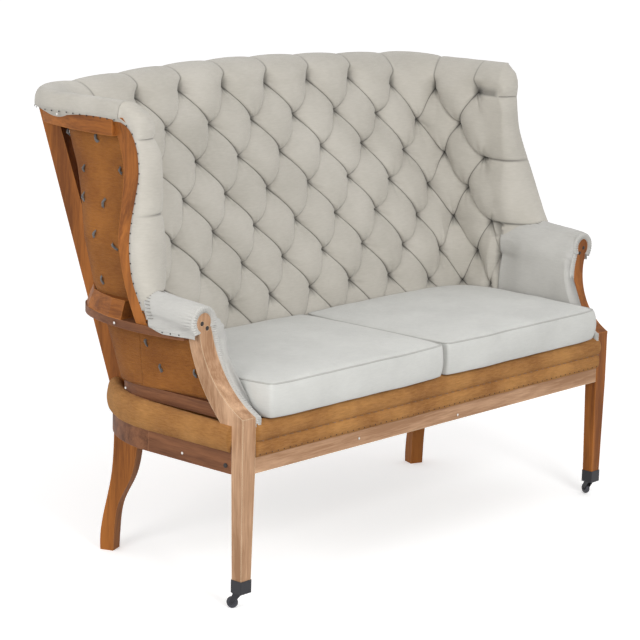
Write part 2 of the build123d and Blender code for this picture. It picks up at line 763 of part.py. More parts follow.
# wing front posts: sawn to a curve in both directions
with BuildPart() as wing_post:
    with BuildSketch(Plane.YZ.offset(out(-42))):
        with BuildLine():
            ThreePointArc((y(262), plank_top), (y(303), up(0.2155)), (y(330), up(0.3933)))
            ThreePointArc((y(330), up(0.3933)), (y(342), up(0.5816)), (y(347), up(0.749)))
            ThreePointArc((y(347), up(0.749)), (y(360), up(0.8954)), (y(388), frame_top))
            Line((y(388), frame_top), (y(wing_rail_front), frame_top))
            Line((y(wing_rail_front), frame_top), (y(wing_rail_front), frame_top - top_rail_height))
            ThreePointArc((y(wing_rail_front), frame_top - top_rail_height), (y(399), up(0.6653)),
                          (y(378), up(0.4351)))
            ThreePointArc((y(378), up(0.4351)), (y(347), up(0.2573)), (y(301), plank_top))
            Line((y(301), plank_top), (y(262), plank_top))
        make_face()
    extrude(amount=130)
    with BuildSketch(Plane.XZ.offset(-y(200))):
        with BuildLine():
            ThreePointArc((out(60), plank_top), (out(66), up(0.1736)), (out(54), up(0.3933)))
            ThreePointArc((out(54), up(0.3933)), (out(27), up(0.5607)), (out(7), up(0.7071)))
            ThreePointArc((out(7), up(0.7071)), (out(5), up(0.8222)), (out(28), frame_top))
            Line((out(28), frame_top), (out(28) - wing_thickness, frame_top))
            ThreePointArc((out(28) - wing_thickness, frame_top), (out(5) - wing_thickness, up(0.8222)),
                          (out(7) - wing_thickness, up(0.7071)))
            ThreePointArc((out(7) - wing_thickness, up(0.7071)), (out(27) - wing_thickness, up(0.5607)),
                          (out(54) - wing_thickness, up(0.3933)))
            ThreePointArc((out(54) - wing_thickness, up(0.3933)), (out(66) - wing_thickness, up(0.1736)),
                          (out(60) - wing_thickness, plank_top))
            Line((out(60) - wing_thickness, plank_top), (out(60), plank_top))
        make_face()
    extrude(amount=-260, mode=Mode.INTERSECT)
write_pair(wing_post.part, "wing_post")

with BuildPart() as wing_top_rail:
    with BuildSketch(Plane.XY.offset(frame_top - top_rail_height)):
        with BuildLine():
            ThreePointArc((out(28), y(wing_rail_front)), (out(19), y(575)), (out(-21), y(728)))
            Line((out(-21), y(728)), (out(-41), y(722.5)))
            ThreePointArc((out(-41), y(722.5)), (out(19) - wing_thickness, y(573)),
                          (out(28) - wing_thickness, y(wing_rail_front)))
            Line((out(28) - wing_thickness, y(wing_rail_front)), (out(28), y(wing_rail_front)))
        make_face()
    extrude(amount=top_rail_height)
    add(rear_post.part, mode=Mode.SUBTRACT)
write_pair(wing_top_rail.part, "wing_top_rail")

with BuildPart() as crest_rail:
    with BuildSketch(Plane.XY.offset(frame_top - top_rail_height)):
        with BuildLine():
            end_y = crest_outer_y - crest_bow
            ThreePointArc((-crest_half, y(end_y)), (0, y(crest_outer_y)), (crest_half, y(end_y)))
            Line((crest_half, y(end_y)), (crest_half, y(end_y - crest_thickness)))
            ThreePointArc((crest_half, y(end_y - crest_thickness)), (0, y(crest_outer_y - crest_thickness)),
                          (-crest_half, y(end_y - crest_thickness)))
            Line((-crest_half, y(end_y - crest_thickness)), (-crest_half, y(end_y)))
        make_face()
    extrude(amount=top_rail_height)
    add(post_pair, mode=Mode.SUBTRACT)
write(crest_rail.part, "crest_rail")

stile_top = frame_top - top_rail_height
with BuildPart() as back_stile:
    with BuildSketch(Plane.YZ.offset(stile_x - stile_width / 2)):
        low = hessian_back(stile_x - stile_width / 2, tub_rail_top) + seam_gap
        high = hessian_back(stile_x - stile_width / 2, stile_top) + seam_gap
        with BuildLine():
            Polyline((y(low), tub_rail_top), (y(low + stile_depth), tub_rail_top),
                     (y(high + stile_depth), stile_top), (y(high), stile_top), close=True)
        make_face()
    extrude(amount=stile_width)
write_pair(back_stile.part, "back_stile")

# ---------------------------------------------------------------- hessian panels
def hessian_panel(columns):
    """A thin sheet on the hessian's outer face, over some columns."""
    rings = []
    for column in columns:
        inside = [outer_point(column, z, hessian) for z in hessian_levels]
        outside = [outer_point(column, z) for z in reversed(hessian_levels)]
        rings.append(inside + outside)
    return skinned(rings, lambda i, j: (columns[i] >= 0) == (j < len(hessian_levels)))


half_columns = [column for column in hessian_columns if column <= 4]
back_columns = [-column for column in reversed(half_columns)] + half_columns[1:]
write(Part(hessian_panel(back_columns).wrapped), "back_hessian")
side_columns = [column for column in hessian_columns if column >= 4]
write_pair(Part(hessian_panel(side_columns).wrapped), "wing_hessian")


def arm_side(depth, z, inset=0.0):
    """Half width of the arm's hessian at a depth and height."""
    return hessian_side(z) - (wing_end - depth) * arm_taper - inset


def arm_inner(depth):
    """Half width inside the arm pad at a depth."""
    return inner_half_width - (wing_end - depth) * arm_taper


def arm_section_heights():
    return [tub_rail_top, 560, plank_bottom]


arm_back = wing_end
arm_front = scroll_front + scroll_depth
rings = []
for depth in (arm_front, arm_back):
    outside = [(arm_side(depth, z), y(depth), z) for z in arm_section_heights()]
    inside = [(arm_side(depth, z, hessian), y(depth), z) for z in reversed(arm_section_heights())]
    rings.append(outside + inside)
write_pair(Part(skinned(rings).wrapped), "arm_hessian")

# ---------------------------------------------------------------- deep-buttoned inside back
grid_columns = [i / 4 for i in range(-24, 25)]
rear_levels = [level(step) for step in range(16)]


def front_levels(column):
    """Heights of the linen's points at a column: the top edge, half rows of tufts, the bottom edge."""
    halves = [row_height(j / 2, column) for j in range(14)]
    return [frame_top] + halves + [tub_rail_top]


back_rings = []
for column in grid_columns:
    front = [inner_point(column, z, tuft(column, z)) for z in front_levels(column)]
    rear = [hessian_facet(column, z, hessian + seam_gap) for z in reversed(rear_levels)]
    back_rings.append(front + rear)


def pleat_diagonal(i, j):
    """Cut each cell of the grid along the pleat that crosses it."""
    column = abs(grid_columns[i] + grid_columns[i + 1]) / 2
    mirrored = grid_columns[i] < 0
    if j >= len(rear_levels):
        return mirrored
    steps = round(column * 4 - 0.5)
    rising = (steps + j + 2) % 4 == 0
    return rising if mirrored else not rising


def linen_piece(first, last):
    """The stuffed linen between two columns, as one closed solid."""
    start = grid_columns.index(first)
    end = grid_columns.index(last)
    body = skinned(back_rings[start:end + 1], lambda i, j: pleat_diagonal(i + start, j))
    return Part(body.wrapped)


write(linen_piece(-flat_columns, flat_columns), "inside_back")
write(linen_piece(-end_column, -flat_columns), "inside_wing_left")
write(linen_piece(flat_columns, end_column), "inside_wing_right")

# buttons, each on a short shank of twine
button_places = []
for row in range(button_rows):
    for step in range(-12, 13):
        column = step / 2
        on_grid = (abs(step) + row) % 2 == 1
        at_end = abs(step) == 12
        if on_grid and not at_end:
            button_places.append((column, row_height(row, column)))
buttons = []
for column, z in button_places:
    seat = Vector(*inner_point(column, z, 1.0))
    face = Vector(*inner_point(column, z, 7.0))
    outward = (face - seat).normalized()
    plane = Plane(origin=seat, z_dir=outward)
    with BuildPart() as one_button:
        with BuildSketch(plane):
            Circle(shank_radius)
        extrude(amount=shank_length)
        with BuildSketch(plane.offset(shank_length)):
            Circle(button_radius)
        with BuildSketch(plane.offset(shank_length + button_height)):
            Circle(button_radius * 0.55)
        loft()
    buttons.append(one_button.part.solid())
write(Compound(buttons), "back_buttons")

# ---------------------------------------------------------------- top roll
def roll_rise(column):
    """Height of the top roll over the frame at a column."""
    x = abs(inner_point(column, frame_top)[0])
    if abs(column) <= flat_columns:
        return crest_rise - 20.0 * (x / inner_flat) ** 2
    return blend(crest_rise - 20.0, wing_rise, (abs(column) - flat_columns) / 1.3)


def rail_outer(column):
    """Plan of the outer face of the top rails at a column."""
    hand = -1 if column < 0 else 1
    place = column_place(abs(column), frame_top)
    if place <= inner_flat:
        x = place * 1.03
        return (hand * x, y(crest_outer_y + 3 - crest_bow * (x / crest_half) ** 2))
    centre = button_line(frame_top) - inner_sag - inner_corner
    deep = crest_outer_y + 3 - crest_bow * (inner_flat * 1.03 / crest_half) ** 2 - centre
    if place <= inner_flat + corner_length:
        turn = (place - inner_flat) / inner_corner
        square = 1 + 0.13 * sin(2 * turn)
        return (hand * (inner_flat * 1.03 + (out(26) - inner_flat * 1.03) * sin(turn) * square),
                y(centre + deep * cos(turn) * square))
    depth = centre - (place - inner_flat - corner_length)
    return (hand * blend(out(26), out(32), (centre - depth) / 190.0), y(depth))


def top_ring(column):
    """Section of the top roll at a column, as a ring of points."""
    rise = roll_rise(column)
    swell = tuft(column, frame_top)
    fold = 0.0 if (abs(column) * 2) % 2 == 1 else 1.0
    foot = inner_point(column, frame_top, swell)
    plain = inner_point(column, frame_top, 0)
    edge = rail_outer(column)
    across = (edge[0] - plain[0], edge[1] - plain[1])

    def at(share, height, proud=0.0):
        base = inner_point(column, frame_top, proud)
        return (base[0] + across[0] * share, base[1] + across[1] * share, frame_top + height * rise)

    return [
        foot,
        at(0.06, 0.42, 12 + 8 * fold),
        at(0.22, 0.80, 6 + 5 * fold),
        at(0.50, 0.98 + 0.02 * fold),
        at(0.80, 0.86),
        at(0.99, 0.46),
        (edge[0], edge[1], frame_top),
        at(0.5, 0.0),
    ]


top_columns = [i / 2 for i in range(-12, 13)]


def fan_cap(ring):
    """A flat end closed by triangles from its last point."""
    return [facet((ring[-1], ring[j], ring[j + 1])) for j in range(len(ring) - 2)]


def ring_solid(rings):
    """A closed solid through rings whose ends are nearly flat."""
    faces = []
    count = len(rings[0])
    for near, far in zip(rings, rings[1:]):
        for j in range(count):
            k = (j + 1) % count
            faces += [facet((near[j], near[k], far[k])), facet((near[j], far[k], far[j]))]
    return Solid(Shell(faces + fan_cap(rings[0]) + fan_cap(rings[-1])))


write(Part(ring_solid([top_ring(column) for column in top_columns]).wrapped), "top_roll")

# ---------------------------------------------------------------- wing front rolls
def wing_edge(z):
    """Outer face and front edge of the wing post at height z."""
    stations = [(plank_top, out(60), 262), (up(0.1736), out(66), 296), (up(0.3933), out(54), 330),
                (up(0.5607), out(27), 341), (up(0.7071), out(7), 346), (up(0.8222), out(5), 351),
                (up(0.9163), out(12), 363), (frame_top, out(28), 388)]
    for (z0, x0, y0), (z1, x1, y1) in zip(stations, stations[1:]):
        if z <= z1:
            return blend(x0, x1, (z - z0) / (z1 - z0)), blend(y0, y1, (z - z0) / (z1 - z0))
    return stations[-1][1:]


def wing_inner(z):
    """Half width to the inner edge of the wing's front roll."""
    top = 42.0 * blend(0, 1, (z - frame_top + 95) / 95.0)
    return out(-67) + top + 60.0 * blend(0, 1, (up(0.6234) - z) / 250.0)


def wing_ring(z, shrink=0.0):
    """Section of the wing's front roll at height z."""
    level = min(z, frame_top)
    outer, front = wing_edge(level)
    bulge = blend(30.0, 10.0, (z - up(0.4142)) / 190.0)
    end = wing_front(level) - seam_gap
    inner = wing_inner(level) + 12.0 * shrink
    outer = outer - 20.0 * shrink
    front = front + 3.0 * shrink
    bulge = bulge * (1 - 0.8 * shrink)
    return [
        (outer + 1.5, y(front + 3), z),
        (outer - 2, y(front - bulge * 0.55), z),
        (outer - (outer - inner) * 0.25, y(front - bulge), z),
        (outer - (outer - inner) * 0.62, y(front - bulge), z),
        (inner + 8, y(front - bulge * 0.5), z),
        (inner, y(front + 6), z),
        (inner + 8, y(end), z),
        (outer - wing_thickness - 4, y(end), z),
        (outer - wing_thickness - 4, y(front + 1), z),
    ]


wing_heights = [up(0.0795), up(0.1632), up(0.2678), up(0.3933), up(0.54)]
wing_heights += [row_height(row, end_column) for row in (1, 0.5, 0)] + [frame_top - 24.0, frame_top]
wing_rings = [wing_ring(z) for z in wing_heights]
wing_rings += [wing_ring(frame_top + wing_rise * 0.6, 0.35), wing_ring(frame_top + wing_rise, 1.0)]


def strip_cap(ring):
    """A flat, possibly hollow-sided end closed by triangles from a chosen point."""
    order = [(8, 0, 1), (8, 1, 2), (8, 2, 3), (8, 3, 6), (3, 4, 5), (3, 5, 6), (6, 7, 8)]
    return [facet((ring[a], ring[b], ring[c])) for a, b, c in order]


def wing_solid(rings):
    """A closed solid through the wing roll's sections."""
    faces = []
    count = len(rings[0])
    for near, far in zip(rings, rings[1:]):
        for j in range(count):
            k = (j + 1) % count
            faces += [facet((near[j], near[k], far[k])), facet((near[j], far[k], far[j]))]
    return Solid(Shell(faces + strip_cap(rings[0]) + strip_cap(rings[-1])))


wing_body = wing_solid(wing_rings)
with BuildPart() as wing_roll:
    add(wing_body)
    add(wing_post.part, mode=Mode.SUBTRACT)
wing_piece = wing_roll.part.solids().sort_by(SortBy.VOLUME)[-1]
write_pair(Part(wing_piece.wrapped), "wing_roll")

# ---------------------------------------------------------------- arms
def arm_sketch(depth):
    """Section of the arm's pad and roll at a depth, on its own plane."""
    inside = arm_inner(depth)
    hung = arm_side(depth, plank_bottom, hessian + 0.2)
    low = arm_side(depth, tub_rail_top, hessian + 0.2)
    centre_x = scroll_x + 3 + (depth - scroll_front) * 0.045
    centre_z = scroll_height + 3 + (depth - scroll_front) * 0.07
    with BuildSketch(Plane.XZ.offset(-y(depth))) as section:
        with BuildLine():
            Line((inside, tub_rail_top), (inside, 620))
            ThreePointArc((inside, 620), (inside + 13, centre_z + 5),
                          (centre_x - 12, centre_z + arm_roll_radius - 1))
            ThreePointArc((centre_x - 12, centre_z + arm_roll_radius - 1),
                          (centre_x + arm_roll_radius * 0.76, centre_z + arm_roll_radius * 0.66),
                          (centre_x + arm_roll_radius, centre_z - 4))
            ThreePointArc((centre_x + arm_roll_radius, centre_z - 4),
                          (centre_x + arm_roll_radius - 5, centre_z - 20), (centre_x + 22, plank_top + 0.2))
            Line((centre_x + 22, plank_top + 0.2), (out(6), plank_top + 0.2))
            Line((out(6), plank_top + 0.2), (out(6), plank_bottom))
            Line((out(6), plank_bottom), (hung, plank_bottom))
            Line((hung, plank_bottom), (low, tub_rail_top))
            Line((low, tub_rail_top), (inside, tub_rail_top))
        make_face()
    return section.sketch


with BuildPart() as arm_roll:
    loft([arm_sketch(arm_front).face(), arm_sketch(arm_back).face()], ruled=True)
    add(wing_piece, mode=Mode.SUBTRACT)
    add(wing_post.part, mode=Mode.SUBTRACT)
    with BuildSketch(Plane.YZ.offset(out(28))):
        with BuildLine():
            Polyline((y(261), plank_top - 8), (y(304), 770), (y(arm_back + 5), 770),
                     (y(arm_back + 5), plank_top - 8), close=True)
        make_face()
    extrude(amount=80, mode=Mode.SUBTRACT)
arm_piece = arm_roll.part.solids().sort_by(SortBy.VOLUME)[-1]
write_pair(Part(arm_piece.wrapped), "arm_roll")

# linen facing: down the inside of the arm post and round its scroll
with BuildPart() as arm_facing:
    with BuildSketch(Plane.YZ.offset(out(-122))):
        with BuildLine():
            Line((y(2), facing_bottom), (y(2), knee_height))
            ThreePointArc((y(2), knee_height), (y(77), 532), (y(scroll_front + 2), 650))
            Line((y(scroll_front + 2), 650), (y(scroll_front + 2), 676))
            Line((y(scroll_front + 2), 676), (y(arm_front), 676))
            Line((y(arm_front), 676), (y(arm_front), tub_rail_top))
            Line((y(arm_front), tub_rail_top), (y(62), tub_rail_top))
            Line((y(62), tub_rail_top), (y(30), facing_bottom))
            Line((y(30), facing_bottom), (y(2), facing_bottom))
        make_face()
    extrude(amount=160)
    with BuildSketch(Plane.XY.offset(400)):
        with BuildLine():
            Polyline((arm_inner(0), y(0)), (out(23), y(0)), (out(23), y(arm_front)),
                     (arm_inner(arm_front), y(arm_front)), close=True)
        make_face()
    extrude(amount=300, mode=Mode.INTERSECT)
    with BuildSketch(Plane.XZ.offset(-y(scroll_front + 2))):
        with Locations((scroll_x + 3, scroll_height + 3)):
            Circle(arm_roll_radius)
        with Locations((scroll_x + 40, scroll_height - 55)):
            Rectangle(90, 60, mode=Mode.SUBTRACT)
    extrude(amount=-(scroll_depth - 2))
    with BuildSketch(Plane.XZ.offset(-y(-5))):
        with BuildLine():
            Polyline((scroll_x + 60, 380), (scroll_x + 60, plank_top - 12), (scroll_x + 4, plank_top - 12),
                     (leg_inner + 13, 560), (leg_inner - 1, knee_height - 10), (leg_inner - 1, 380), close=True)
        make_face()
    extrude(amount=-220, mode=Mode.SUBTRACT)
    add(front_post.part, mode=Mode.SUBTRACT)
    add(lower_rail_piece, mode=Mode.SUBTRACT)
facing_piece = arm_facing.part.solids().sort_by(SortBy.VOLUME)[-1]
write_pair(Part(facing_piece.wrapped), "arm_facing")

# ---------------------------------------------------------------- edge rolls of the seat
with BuildPart() as front_edge_roll:
    with BuildSketch(Plane.YZ.offset(-leg_inner + seam_gap)):
        with BuildLine():
            Line((y(1.2), roll_tack_front), (y(-3), roll_tack_front + 1))
            ThreePointArc((y(-3), roll_tack_front + 1), (y(-7), (roll_tack_front + roll_stitch) / 2),
                          (y(-4), roll_stitch))
            ThreePointArc((y(-4), roll_stitch), (y(-13), 436), (y(14), roll_top))
            ThreePointArc((y(14), roll_top), (y(27), 457), (y(38), 448))
            Line((y(38), 448), (y(roll_depth), rail_top + 30))
            Line((y(roll_depth), rail_top + 30), (y(roll_depth), rail_top))
            Line((y(roll_depth), rail_top), (y(1.2), rail_top))
            Line((y(1.2), rail_top), (y(1.2), roll_tack_front))
        make_face()
    extrude(amount=2 * (leg_inner - seam_gap))
    for hand in (-1, 1):
        with Locations((hand * (leg_inner - 8), y(20), facing_bottom + 20)):
            Box(40, 60, 41, mode=Mode.SUBTRACT)
        with Locations((hand * (leg_inner - 2), y(56), rail_top + 45)):
            Box(44, 60, 90.2, mode=Mode.SUBTRACT)
write(front_edge_roll.part, "front_edge_roll")

roll_in = 30.0
with BuildPart() as side_edge_roll:
    with BuildSketch(Plane.XZ.offset(-y(leg_depth + seam_gap))):
        with BuildLine():
            x0 = side_outer
            Line((x0 + 0.2, side_roll_bottom), (x0 + 5, side_roll_bottom + 1))
            ThreePointArc((x0 + 5, side_roll_bottom + 1), (x0 + side_roll_out, 412), (x0 + 4, 442))
            ThreePointArc((x0 + 4, 442), (x0 - 8, side_roll_top), (x0 - roll_in, 436))
            Line((x0 - roll_in, 436), (x0 - roll_in, rail_top))
            Line((x0 - roll_in, rail_top), (x0 + 0.2, rail_top))
            Line((x0 + 0.2, rail_top), (x0 + 0.2, side_roll_bottom))
        make_face()
    extrude(amount=-(corner_y - leg_depth - seam_gap))
    roll_face = side_edge_roll.faces().sort_by(Axis.Y)[-1]
    revolve(roll_face, axis=Axis((corner_x, y(corner_y), 0), (0, 0, 1)), revolution_arc=90)
    add(rear_post.part, mode=Mode.SUBTRACT)
    add(front_post.part, mode=Mode.SUBTRACT)
side_roll_piece = side_edge_roll.part.solids().sort_by(SortBy.VOLUME)[-1]
write_pair(Part(side_roll_piece.wrapped), "side_edge_roll")

with BuildPart() as back_edge_roll:
    with BuildSketch(Plane.YZ.offset(-corner_x + seam_gap)):
        with BuildLine():
            y0 = seat_depth
            Line((y(y0 + 0.2), side_roll_bottom), (y(y0 + 5), side_roll_bottom + 1))
            ThreePointArc((y(y0 + 5), side_roll_bottom + 1), (y(y0 + side_roll_out), 412), (y(y0 + 4), 442))
            ThreePointArc((y(y0 + 4), 442), (y(y0 - 8), side_roll_top), (y(y0 - roll_in), 436))
            Line((y(y0 - roll_in), 436), (y(y0 - roll_in), rail_top))
            Line((y(y0 - roll_in), rail_top), (y(y0 + 0.2), rail_top))
            Line((y(y0 + 0.2), rail_top), (y(y0 + 0.2), side_roll_bottom))
        make_face()
    extrude(amount=2 * (corner_x - seam_gap))
write(back_edge_roll.part, "back_edge_roll")

# ---------------------------------------------------------------- seat deck
deck_side = tub_half_width - tub_rail_thickness - 24
with BuildPart() as seat_deck:
    with BuildSketch(Plane.XY.offset(rail_top)):
        with Locations((0, y((roll_depth + seam_gap + tub_back_y - tub_rail_thickness - 1) / 2))):
            Rectangle(2 * (leg_inner - 26), tub_back_y - tub_rail_thickness - 1 - roll_depth - seam_gap)
    extrude(amount=roll_top - rail_top)
    add(post_pair, mode=Mode.SUBTRACT)
    fillet(seat_deck.edges().filter_by(Axis.Z).group_by(Axis.Y)[-1], 100)
write(seat_deck.part, "seat_deck")

# ---------------------------------------------------------------- loose cushions
cushion_back = tub_back_y - tub_rail_thickness - cushion_clearance


def cushion_plan(inset, z):
    """Outline of the right cushion drawn in by so much, on a plane at height z."""
    left = cushion_gap + inset
    front = -cushion_overhang + inset
    right_front = cushion_front_x - inset
    right_back = inner_half_width - low_crown - cushion_clearance - inset
    above = max(0.0, z - tub_rail_top)
    rear = cushion_back - inset + above * 0.15
    turn = inner_corner + 40
    with BuildSketch(Plane.XY.offset(z)) as plan:
        with BuildLine():
            Line((left, y(front)), (right_front, y(front)))
            Line((right_front, y(front)), (right_back, y(rear - turn)))
            ThreePointArc((right_back, y(rear - turn)),
                          (right_back - turn * 0.27, y(rear - turn * 0.37)),
                          (right_back - turn * 0.95, y(rear - 18)))
            Line((right_back - turn * 0.95, y(rear - 18)), (left, y(rear)))
            Line((left, y(rear)), (left, y(front)))
        make_face()
    return plan.sketch.face()


cushion_levels = [
    (9.0, 0.0),
    (1.0, 9.0),
    (2.0, tub_rail_top - cushion_bottom),
    (3.0, cushion_side * 0.5),
    (0.0, cushion_side - 7),
    (1.5, cushion_side),
    (70.0, cushion_side + cushion_crown * 0.72),
    (165.0, cushion_side + cushion_crown),
]
with BuildPart() as seat_cushion:
    loft([cushion_plan(inset, cushion_bottom + rise) for inset, rise in cushion_levels], ruled=True)
write_pair(seat_cushion.part, "seat_cushion")

# ---------------------------------------------------------------- ties and plugs
wing_ties = [(661, 1072), (527, 1073), (572, 994), (441, 1003), (562, 926), (482, 921),
             (496, 845), (421, 824), (463, 737)]   # depth and height


def wing_column(depth, z):
    """The column at which the wing's hessian reaches a depth."""
    low, high = 3.8, end_column
    for _ in range(30):
        middle = (low + high) / 2
        if hessian_facet(middle, z)[1] > y(depth):
            low = middle
        else:
            high = middle
    return low


def tie_at(column, z):
    """A folded tuft of twine lying on the hessian."""
    spot = Vector(*hessian_facet(column, z))
    along = Vector(*hessian_facet(column + 0.02, z)) - Vector(*hessian_facet(column - 0.02, z))
    rise = Vector(*hessian_facet(column, z + 2)) - Vector(*hessian_facet(column, z - 2))
    outward = rise.cross(along).normalized()
    with BuildPart() as one_tie:
        with BuildSketch(Plane(origin=spot + outward * tie_gap, x_dir=along.normalized(), z_dir=outward)):
            SlotOverall(17, 8)
        extrude(amount=4.5)
    return one_tie.part.solid()


tie_gap = 0.4
ties = []
for row in range(1, 7):
    for step in range(-7, 8):
        if (abs(step) + row) % 2 == 1:
            ties.append(tie_at(step / 2, row_height(row, step / 2)))
for depth, height in wing_ties:
    column = wing_column(depth, height)
    ties += [tie_at(column, height), tie_at(-column, height)]
write(Compound(ties), "tuft_ties")
print("nodes written:", len(os.listdir("parts")))
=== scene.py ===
# %% [markdown]
# A high back settee, part-way through its upholstery
# The settee stands as an upholsterer would show it before the outside covers go on: a sawn beech
# frame, hessian outside, and a deep-tufted linen inside that wraps round into the wings.
# The frame is loaded first, because every soft piece is made to fit it.

# %% Load the frame
import math
import random

import bmesh
import bpy
from mathutils import Matrix, Vector, noise


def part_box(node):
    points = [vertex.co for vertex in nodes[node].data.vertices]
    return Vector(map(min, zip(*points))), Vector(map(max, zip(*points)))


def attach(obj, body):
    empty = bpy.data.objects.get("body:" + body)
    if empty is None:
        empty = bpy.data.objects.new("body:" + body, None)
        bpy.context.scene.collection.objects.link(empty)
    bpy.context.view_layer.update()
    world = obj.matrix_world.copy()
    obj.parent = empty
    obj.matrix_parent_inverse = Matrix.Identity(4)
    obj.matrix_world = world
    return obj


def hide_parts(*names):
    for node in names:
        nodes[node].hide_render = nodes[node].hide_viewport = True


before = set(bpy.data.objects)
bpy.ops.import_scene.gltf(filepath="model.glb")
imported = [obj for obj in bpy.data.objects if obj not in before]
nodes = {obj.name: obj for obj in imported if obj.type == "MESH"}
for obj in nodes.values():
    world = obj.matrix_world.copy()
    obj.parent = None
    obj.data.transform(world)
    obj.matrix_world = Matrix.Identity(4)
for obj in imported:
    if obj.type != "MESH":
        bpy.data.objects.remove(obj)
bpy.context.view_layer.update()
LEG_FRONT = -0.410   # metres from the middle to the front legs' front faces
print("frame nodes:", len(nodes))


def at(x, depth, z):
    """A place from millimetres: half width, depth behind the front legs, height."""
    return Vector((x / 1000.0, LEG_FRONT + depth / 1000.0, z / 1000.0))


def mix(a, b, share):
    """Part of the way from a to b, held between the two."""
    return a + (b - a) * min(max(share, 0.0), 1.0)


def ease(share):
    """A smooth step from 0 to 1."""
    share = min(max(share, 0.0), 1.0)
    return share * share * (3 - 2 * share)


# %% [markdown]
# Cloth on a settee is nearly always a rectangle pulled over a form, so one helper makes every soft
# surface: it starts from a flat grid, and moves each crossing to its place on the form. A grid keeps
# long clean rows of faces, which fold and shade better than a remeshed lump. Where the form closes on
# itself, as round a roll, the two edges are merged, and the ends are filled.

# %% A grid pulled over a form
def keep_mesh(name, bm, body="frame", smooth=True):
    """Make an object of a bmesh, in place, with its faces outwards, riding on a body."""
    mesh = bpy.data.meshes.new(name)
    bm.to_mesh(mesh)
    bm.free()
    for face in mesh.polygons:
        face.use_smooth = smooth
    piece = bpy.data.objects.new(name, mesh)
    bpy.context.scene.collection.objects.link(piece)
    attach(piece, body)
    return piece


def pulled_grid(across, along, place, closed=False):
    """A grid whose crossings go where place(u, v) says; if closed, u runs round a roll with filled ends."""
    bm = bmesh.new()
    bmesh.ops.create_grid(bm, x_segments=across, y_segments=along, size=1.0)
    for vert in bm.verts:
        u, v = (vert.co.x + 1) / 2, (vert.co.y + 1) / 2
        vert.co = place(u, v)
    if closed:
        bmesh.ops.remove_doubles(bm, verts=bm.verts, dist=0.00002)
        rim = [edge for edge in bm.edges if edge.is_boundary]
        bmesh.ops.holes_fill(bm, edges=rim, sides=0)
    bmesh.ops.recalc_face_normals(bm, faces=bm.faces)
    return bm


def add_tube(bm, points, radius, sides=6):
    """Add a round tube along points; radius is a number, or one for each point."""
    made = bmesh.ops.create_grid(bm, x_segments=sides, y_segments=len(points) - 1, size=1.0)["verts"]
    turned = []
    for k, point in enumerate(points):
        along = points[min(k + 1, len(points) - 1)] - points[max(k - 1, 0)]
        side = along.cross(Vector((0.31, 0.17, 0.93))).normalized()
        turned.append((side, along.cross(side).normalized()))
    for vert in made:
        i = round((vert.co.x + 1) / 2 * sides)
        k = round((vert.co.y + 1) / 2 * (len(points) - 1))
        turn = i / sides * 2 * math.pi
        wide = radius[k] if hasattr(radius, "__len__") else radius
        side, other = turned[k]
        vert.co = points[k] + side * (wide * math.cos(turn)) + other * (wide * math.sin(turn))


def add_wall(piece, thickness):
    """Give a thin sheet both its faces."""
    wall = piece.modifiers.new("wall", "SOLIDIFY")
    wall.thickness = thickness
    wall.offset = -1.0


# %% Curves to follow
def through(stations, value):
    """A smooth run through (value, numbers...) stations."""
    if value <= stations[0][0]:
        return stations[0][1:]
    if value >= stations[-1][0]:
        return stations[-1][1:]
    for i in range(len(stations) - 1):
        if value <= stations[i + 1][0]:
            break
    a, b = stations[i], stations[i + 1]
    before, after = stations[max(i - 1, 0)], stations[min(i + 2, len(stations) - 1)]
    span = b[0] - a[0]
    t = (value - a[0]) / span
    found = []
    for k in range(1, len(a)):
        ga = (b[k] - before[k]) / (b[0] - before[0]) * span
        gb = (after[k] - a[k]) / (after[0] - a[0]) * span
        found.append((2 * t**3 - 3 * t**2 + 1) * a[k] + (t**3 - 2 * t**2 + t) * ga
                     + (3 * t**2 - 2 * t**3) * b[k] + (t**3 - t**2) * gb)
    return tuple(found)


def loop_curve(points, share):
    """A point on the smooth closed curve through these points."""
    count = len(points)
    place = (share % 1.0) * count
    i = int(place)
    t = place - i
    p = [points[(i + k - 1) % count] for k in range(4)]
    return tuple(
        0.5 * (2 * p[1][k] + (p[2][k] - p[0][k]) * t
               + (2 * p[0][k] - 5 * p[1][k] + 4 * p[2][k] - p[3][k]) * t * t
               + (3 * p[1][k] - p[0][k] - 3 * p[2][k] + p[3][k]) * t**3)
        for k in range(len(p[1]))
    )


def arc_through(a, b, c, share):
    """A point on the circle that goes from a through b to c."""
    d = 2 * (a[0] * (b[1] - c[1]) + b[0] * (c[1] - a[1]) + c[0] * (a[1] - b[1]))
    sq = [p[0] ** 2 + p[1] ** 2 for p in (a, b, c)]
    cx = (sq[0] * (b[1] - c[1]) + sq[1] * (c[1] - a[1]) + sq[2] * (a[1] - b[1])) / d
    cy = (sq[0] * (c[0] - b[0]) + sq[1] * (a[0] - c[0]) + sq[2] * (b[0] - a[0])) / d
    start = math.atan2(a[1] - cy, a[0] - cx)
    middle = math.atan2(b[1] - cy, b[0] - cx)
    end = math.atan2(c[1] - cy, c[0] - cx)
    turn = (end - start) % (2 * math.pi)
    if (middle - start) % (2 * math.pi) > turn:
        turn -= 2 * math.pi
    angle = start + turn * share
    radius = math.hypot(a[0] - cx, a[1] - cy)
    return cx + radius * math.cos(angle), cy + radius * math.sin(angle)


def arc_at_height(arc, z):
    """The first measure of an arc through three (measure, height) points, at a height."""
    low, high = 0.0, 1.0
    for _ in range(18):
        share = (low + high) / 2
        if arc_through(*arc, share)[1] < z:
            low = share
        else:
            high = share
    return arc_through(*arc, low)[0]


print("half way along a test arc:", [round(k, 2) for k in arc_through((0, 0), (3, 4), (0, 10), 0.5)])


